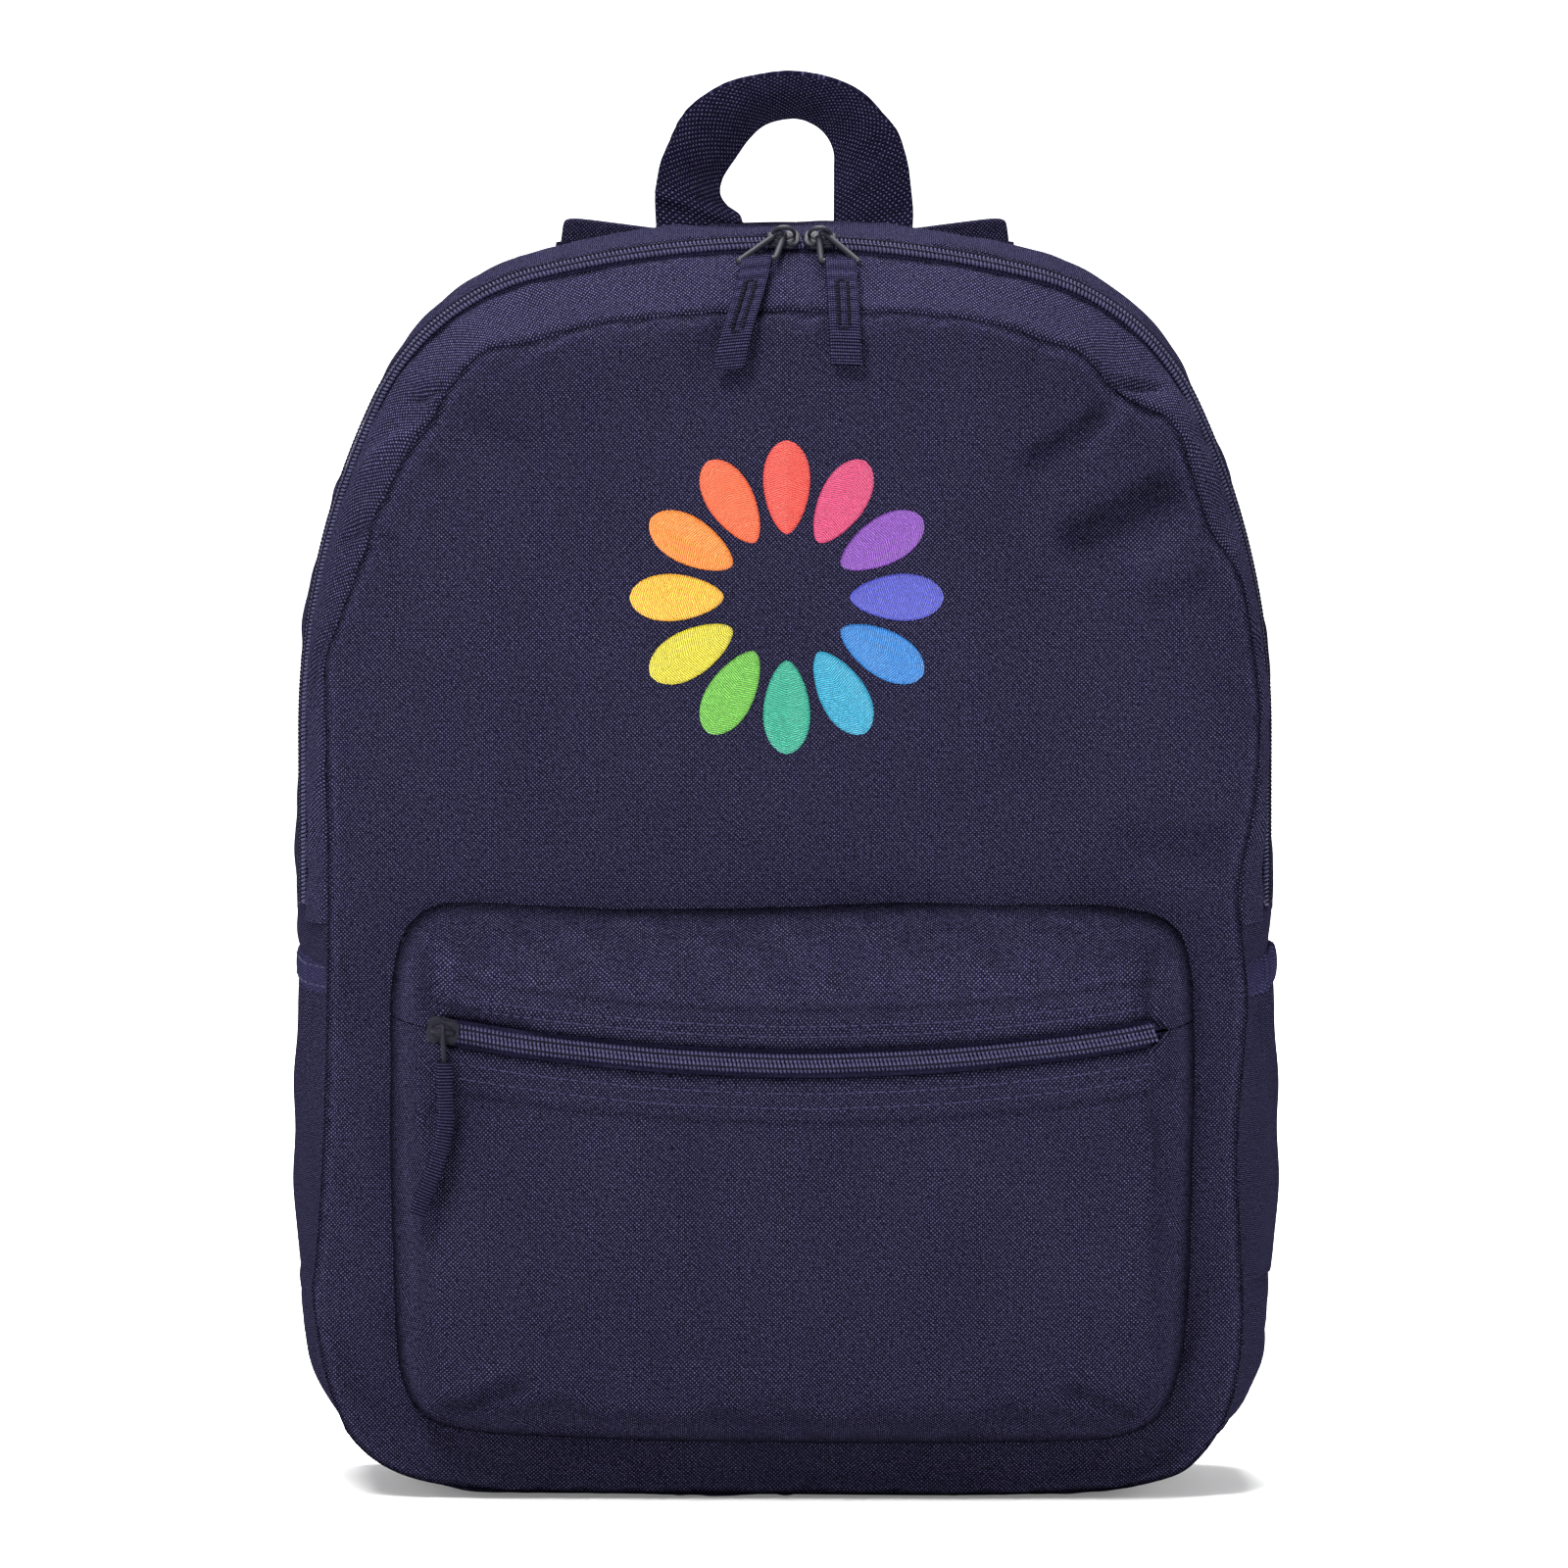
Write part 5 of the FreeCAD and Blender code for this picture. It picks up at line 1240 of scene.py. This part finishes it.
def back_panel():
    """The padded back stands behind its seam, pulled in along the sewn channels."""
    xz = plan_inside(BACK, ((-141, 14), (141, 14), (110, 388), (-110, 388)), 151, 191, 1.3)
    x, z = xz[..., 0], xz[..., 1]
    d = distance_to(BACK(np.linspace(0, 4, 700)), xz)
    near = np.min([distance_to(channel, xz) for channel in BACK_CHANNELS], axis=0)
    h = 2.0 * fill(d, 1.1) + 7.4 * fill(d, 9.0) + 0.8 * ripple(x, z, 85.0, 111) * fill(d, 20)
    h = h + 1.6 * fill(near, 14.0) * fill(d, 14) - 1.5 * bell(near, 1.6)
    h = h + 0.35 * ripple(x + z, x - z, 10.0, 112) * np.exp(-near / 6.0) * fill(near, 1.2)
    points = np.stack([x, BACK_Y + h, z], -1)
    sewn = (near < 2.6) | (d < 3.0)
    moved = settle(points[::2, ::2][:, ::-1], sewn[::2, ::2][:, ::-1], 2.0, 0.012, 1.6)[:, ::-1]
    panel = grid_mesh("back_panel_cloth", points + finer(moved, points.shape[:2]), OXFORD, xz)
    return surface_tree(tie(panel, "bag", None, "back_panel", "back_foam"))


back_tree = back_panel()
stitches("back_stitches", [onto(back_tree, even(c, 160), 0.15, behind=True) for c in BACK_CHANNELS], "bag")


# ---------------------------------------------------------------- shoulder straps

STRAP_TOP, STRAP_LOW, STRAP_RISE = (46.0, 71.0, 408.0), (150.0, 71.0, 100.0), 36.0


class Strap:
    """A strap's bow: along runs from its top anchor to its low one, out stands away from the back."""

    def __init__(self, sign):
        self.top, low = [np.array(p) * np.array([sign, 1, 1]) for p in (STRAP_TOP, STRAP_LOW)]
        self.long = float(np.linalg.norm(low - self.top))
        self.x, self.y = (low - self.top) / self.long, np.array([0.0, 1.0, 0.0])
        self.z = np.cross(self.x, self.y)
        self.radius = (self.long ** 2 / 4 + STRAP_RISE ** 2) / (2 * STRAP_RISE)

    def turn(self, along):
        return np.arcsin(np.clip((np.asarray(along, float) - self.long / 2) / self.radius, -1, 1))

    def point(self, along, across=0.0, off=0.0):
        along, across, off = np.broadcast_arrays(*[np.asarray(k, float) for k in (along, across, off)])
        a, r = self.turn(along), self.radius + off
        return (self.top + (self.long / 2 + r * np.sin(a))[..., None] * self.x
                + (STRAP_RISE - self.radius + r * np.cos(a))[..., None] * self.y + across[..., None] * self.z)

    def out(self, along):
        a = self.turn(along)
        return np.sin(a)[..., None] * self.x + np.cos(a)[..., None] * self.y


def strap_pad(side, sign, strap):
    """The padded length of a strap: crowned foam under cloth, bound round its edge.

    It is widest at the shoulder and narrows to its buckle.
    """
    body = "shoulder_strap_" + side
    A = np.linspace(-3.0, 231.0, 150)[:, None]
    share = np.sin(np.linspace(-math.pi / 2, math.pi / 2, 26))[None]
    half = 26.5 - 9.5 * step(A, 150, 231) - 3.0 * (1 - step(A, 0, 50))
    thick = 4.9 * (0.45 + 0.55 * step(A, -3, 24)) * (1 - 0.45 * step(A, 216, 231))
    dip = -5.5 * (1 - step(A, -3, 26))
    along, across, seam = A + 0 * share, half * share, half - 6.5
    crown = (1 - np.abs(share) ** 2.6) ** 0.75
    channel = -0.9 * bell(np.abs(across) - seam, 1.1)
    wave = 0.5 * ripple(along, across, 38.0, 131 + sign) * crown
    front = strap.point(along, across, dip + thick * crown + channel + wave)
    rear = strap.point(along, across[:, ::-1], dip - thick * crown[:, ::-1] - channel[:, ::-1] * 0.6)
    held = (np.abs(share) > 0.9) | (np.abs(np.abs(across) - seam) < 1.4) | (along < 4) | (along > 226)
    front = front + settle(front, held, -1.6, 0.02, 1.3)
    ring = np.concatenate([front, rear[:, 1:-1]], 1)
    cloth = np.concatenate([np.stack([across, along], -1),
                            np.stack([across[:, ::-1] + 60, along], -1)[:, 1:-1]], 1)
    pad = make_mesh("strap_pad_cloth_" + side, ring, tube_faces(*ring.shape[:2]), OXFORD, cloth)
    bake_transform(pad)
    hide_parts("strap_pad_" + side, "strap_foam_" + side)
    A, half, thick, dip, seam = [v[14:-4, 0] for v in (A, half, thick, dip, seam)]
    swell, out = thick * (1 - (seam / half) ** 2.6) ** 0.75, strap.out(A)
    runs = []
    for edge in (-1, 1):
        runs.append((strap.point(A, edge * seam, dip + swell - 0.4), out))
        runs.append((strap.point(A, edge * seam, dip - swell + 0.3), -out))
    stitches("strap_pad_stitches_" + side, runs, body)


def strap_binding(side, strap):
    """The rounded binding down both edges of the pad and round its low end."""
    A = np.linspace(-3.0, 231.0, 150)[10:]
    half = 26.5 - 9.5 * step(A, 150, 231) - 3.0 * (1 - step(A, 0, 50))
    dip = -5.5 * (1 - step(A, -3, 26))
    end = strap.point(231.0 + 1.2 * np.cos(np.linspace(-1.4, 1.4, 14)),
                      17.0 * np.sin(np.linspace(-math.pi / 2, math.pi / 2, 14)))[1:-1]
    line = even(np.concatenate([strap.point(A, -half, dip), end, strap.point(A, half, dip)[::-1]]), 420)
    centre = strap.point(np.linspace(10, 225, 60))
    outward = unit([p - centre[np.argmin(np.sum((centre - p) ** 2, 1))] for p in line])
    q = np.linspace(0, math.tau, 16, endpoint=False)
    section = np.stack([1.9 * np.sign(np.sin(q)) * np.abs(np.sin(q)) ** 0.8,
                        2.3 * np.sign(np.cos(q)) * np.abs(np.cos(q)) ** 0.7], 1)
    tie(sweep("strap_binding_" + side, line, outward, section, BINDING), "shoulder_strap_" + side, "binding")


def buckle(side, strap, middle=256.3):
    """A ladder lock: two side rails, three cross bars and a ribbed thumb edge."""
    origin = strap.point(middle)
    axes = np.stack([unit(strap.point(middle + 1) - strap.point(middle - 1)), strap.z, strap.out(middle)])
    parts = [((0, k * 15.2, 0), (30.0, 3.8, 4.4), 5.0, 14) for k in (-1, 1)]
    parts += [((off, 0, lift), (wide, 32.0, high), 5.0, 14)
              for off, wide, high, lift in ((-12.9, 3.6, 3.6, 0.0), (-1.2, 4.4, 3.4, 0.5),
                                            (11.5, 6.6, 3.8, 0.2))]
    parts += [((9.4 + 2.1 * k, 0, 2.0), (0.9, 24.0, 0.9), 3.0, 8) for k in range(3)]
    blocks = merged([rounded_box(origin + np.array(place) @ axes, axes, *shape) for place, *shape in parts])
    tie(make_mesh("ladder_lock_frame_" + side, *blocks, PLASTIC), "shoulder_strap_" + side, "buckle_plastic",
        "ladder_lock_" + side)


def strap_webbing(side, sign, strap):
    """The short loop that holds the buckle, the webbing down to the anchor and its loose tail."""
    body = "shoulder_strap_" + side

    def band(name, cad, path, up, section):
        tie(sweep(name + side, path, up, section, WEBBING), body, "webbing", cad + side)

    def over_pad(along):
        return 5.2 - 4.4 * step(along, 222, 236)
    along = np.linspace(214, 246.0, 50)
    off = over_pad(along) + 0.6 * np.sin((along - 238) / 9 * math.pi) * (along > 238)
    band("buckle_loop_webbing_", "buckle_loop_", strap.point(along, 0.0, off), strap.out(along),
         band_section(25.0, 2.0))
    box = even([(217, -9), (217, 9), (229, 9), (229, -9), (217, -9), (229, 9)], 120)
    run = strap.point(box[:, 0], box[:, 1], over_pad(box[:, 0]) + 1.15), strap.out(box[:, 0])
    stitches("buckle_loop_stitches_" + side, [run], body)
    along = np.linspace(248.0, strap.long - 3.0, 90)
    off = (-5.2 + 4.6 * (1 - step(along, 248, 262))
           + 1.2 * np.sin((along - 262) / 60 * math.pi) * (along > 262))
    band("strap_webbing_band_", "strap_webbing_", strap.point(along, 0.0, off), strap.out(along),
         band_section(25.0, 1.6))
    first = strap.point(np.array([249.0, 253.0, 257.0, 262.0, 267.0]), 0.0,
                        np.array([1.0, 2.6, 3.4, 4.4, 5.0]))
    drop = first[-1] + unit([sign * 0.12, 0.02, -1.0]) * np.linspace(4, 82, 10)[:, None]
    drop[:, 1] += 2.2 * np.sin(np.linspace(0, math.pi, 10))
    up = same((0.0, 1.0, 0.1), 140) + strap.out(256.0) * 0.4
    thick = 1.6 + 1.5 * step(np.arange(140), 124, 126)
    band("webbing_tail_band_", "webbing_tail_", smooth_line(np.concatenate([first, drop]), 140), up,
         np.stack([band_section(25.0, t) for t in thick]))


def strap_ends(side, sign):
    """The strap's padded root on the back's top edge, and the cloth wedge that holds its lower end."""
    turn = math.radians(7.4)
    axes = np.array([(math.cos(turn), 0, sign * math.sin(turn)), (0, 1, 0),
                     (-sign * math.sin(turn), 0, math.cos(turn))])
    middle = np.array([sign * 46.0, 64.0, 413.6]) - axes[2] * 7.5
    v, f = rounded_box(middle, axes, (56.0, 5.4, 15.0), 9.0, 30)
    local = (v - middle) @ axes.T
    base = make_mesh("strap_base_cloth_" + side, v, f, OXFORD,
                     np.stack([local[:, 0], local[:, 2] + local[:, 1]], 1))
    tie(base, "bag", None, "strap_base_" + side)
    x, z = STRAP_LOW[0], STRAP_LOW[2]
    corners = np.array([(x - 16.0, z - 22.0), (x + 13.6, z), (x - 10.0, z + 14.0)]) * np.array([sign, 1])
    outline = []
    for k in range(3):
        c = corners[k]
        p, q = unit(corners[k - 1] - c), unit(corners[(k + 1) % 3] - c)
        outline += [c + p * 3.0, c + p * 0.9 + q * 0.9, c + q * 3.0]
    outline = even(outline + outline[:1], 60)[:-1]
    v, f = plate_shape(outline, [(1, 0, 0), (0, 0, 1), (0, 1, 0)], (0, 0, 0), 57.6, 61.2, crown=0.8,
                       bevel=0.7)
    tie(make_mesh("strap_anchor_cloth_" + side, v, f, OXFORD, v[:, [0, 2]]), "bag", None,
        "strap_anchor_" + side)
    line = even(np.concatenate([corners, corners[:1]]) * 0.68 + corners.mean(0) * 0.32, 100)
    path = np.stack([line[:, 0], np.full(100, 61.9), line[:, 1]], 1)
    stitches("strap_anchor_stitches_" + side, [(path, same((0, 1, 0), 100))], "bag")


for side, sign in SIDES:
    strap = Strap(sign)
    strap_pad(side, sign, strap)
    strap_binding(side, strap)
    buckle(side, strap)
    strap_webbing(side, sign, strap)
    strap_ends(side, sign)


# ---------------------------------------------------------------- the top patch and the lining

def top_patch(half=76, low=381.5, high=408.5):
    """A band of cloth sewn flat across the back's top, over the ends of the handle and straps."""
    X, Z = np.meshgrid(np.linspace(-half, half, 120), np.linspace(low, high, 26), indexing="ij")
    edge = np.minimum(np.minimum(X + half, half - X), np.minimum(Z - low, high - Z))
    Y = 59.2 + 1.8 * fill(edge, 1.2) + 0.25 * ripple(X, Z, 16.0, 141) + 0.8 * bell(np.abs(X) - 30, 12)
    points = np.stack([X, Y, Z], -1)
    patch = grid_mesh("top_patch_cloth", points, OXFORD, np.stack([X, Z], -1), thick=1.0)
    tie(patch, "bag", None, "top_anchor_patch")
    sewn_sheet(patch, points, "back_panel")
    tree, runs = surface_tree(patch), []
    for line in ([(-73, 384.5), (73, 384.5), (73, 405.5), (-73, 405.5), (-73, 384.5)],
                 [(-42, 386), (-18, 403)], [(-42, 403), (-18, 386)], [(42, 386), (18, 403)],
                 [(42, 403), (18, 386)]):
        count = 260 if len(line) > 2 else 50
        hits = onto(tree, even(line, count), behind=True)[0]
        runs.append((hits + np.array([0, 0.15, 0]), same((0, 1, 0), count)))
    stitches("top_patch_stitches", runs, "bag")


top_patch()
lining = frame["nodes"]["back_lining"]
lining.data.materials.clear()
lining.data.materials.append(LINING)
SLOTS = {"oxford": "oxford", "oxford_painted_light": "oxford", "zip_tape": "zip_tape", "zip_coil": "zip_coil",
         "binding": "binding"}
for obj in bpy.context.scene.objects:
    if obj.type == "MESH" and "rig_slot" not in obj and "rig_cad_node" not in obj:
        if obj.data.materials[0].name in SLOTS:
            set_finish(obj, SLOTS[obj.data.materials[0].name])


# ---------------------------------------------------------------- floor, light and camera

def add_object(name, data, place, target):
    """A lamp or a camera at a place in metres, turned to its target."""
    obj = bpy.data.objects.new(name, data)
    obj.location = place
    obj.rotation_euler = (Vector(target) - Vector(place)).to_track_quat("-Z", "Y").to_euler()
    bpy.context.scene.collection.objects.link(obj)
    return obj


def studio():
    """A pale floor that rises all round into a bowl, soft lights and the camera."""
    bend = np.linspace(0, math.pi / 2, 12)
    radius = np.concatenate([[1, 350, 700, 1200, 2400, 6000, 11000], 12000 + 2500 * np.sin(bend), [14500]])
    height = np.concatenate([np.zeros(7), 2500 * (1 - np.cos(bend)), [9500]])
    points = np.stack([np.stack([radius * math.cos(a), radius * math.sin(a), height], 1)
                       for a in np.linspace(0, math.tau, 96, endpoint=False)])
    mat, tree = new_material("studio_floor")
    place = object_place(tree)
    far = tree.nodes.new("ShaderNodeVectorMath")
    far.operation = "LENGTH"
    feed(far.inputs[0], place)
    glow = (Value(tree, far.outputs["Value"]) - 0.35).then("MULTIPLY", 0.55, clamp=True)
    glow = glow * (split(place)[2].then("MULTIPLY", 0.8, clamp=True) * -0.70 + 1.0)
    shade(tree, mix(noise(place, 3.0), (0.93, 0.93, 0.93), (0.96, 0.96, 0.96)), Roughness=0.9,
          Emission_Color=(1.0, 1.0, 1.0), Emission_Strength=glow * 0.82 + 0.18)
    make_mesh("studio_floor", points, grid_faces(96, len(radius), wrap_u=True), mat)
    scene = bpy.context.scene
    scene.world = bpy.data.worlds.new("studio")
    scene.world.use_nodes = True
    background = scene.world.node_tree.nodes["Background"]
    background.inputs[0].default_value, background.inputs[1].default_value = (1.0, 1.0, 1.0, 1.0), 0.20
    for name, place, target, wide, power in (("key", (-0.7, -1.9, 2.0), (0, 0, 0.22), 0.9, 104.0),
                                             ("fill", (1.7, -1.9, 0.9), (0, 0, 0.2), 1.4, 8.0),
                                             ("top", (0.0, 0.55, 1.9), (0, 0, 0.36), 0.9, 110.0)):
        light = bpy.data.lights.new(name, "AREA")
        light.shape, light.size, light.energy = "DISK", wide, power
        add_object(name, light, place, target)
    camera = bpy.data.cameras.new("camera")
    camera.lens, camera.sensor_width = 691.0, 36.0
    tilt, aim = math.radians(4.4), Vector((-0.0003, 0.0, 0.232))
    eye = aim + Vector((0, -10.0 * math.cos(tilt), 10.0 * math.sin(tilt)))
    scene.camera = add_object("camera", camera, eye, aim)
    scene.view_settings.view_transform = "Standard"


studio()
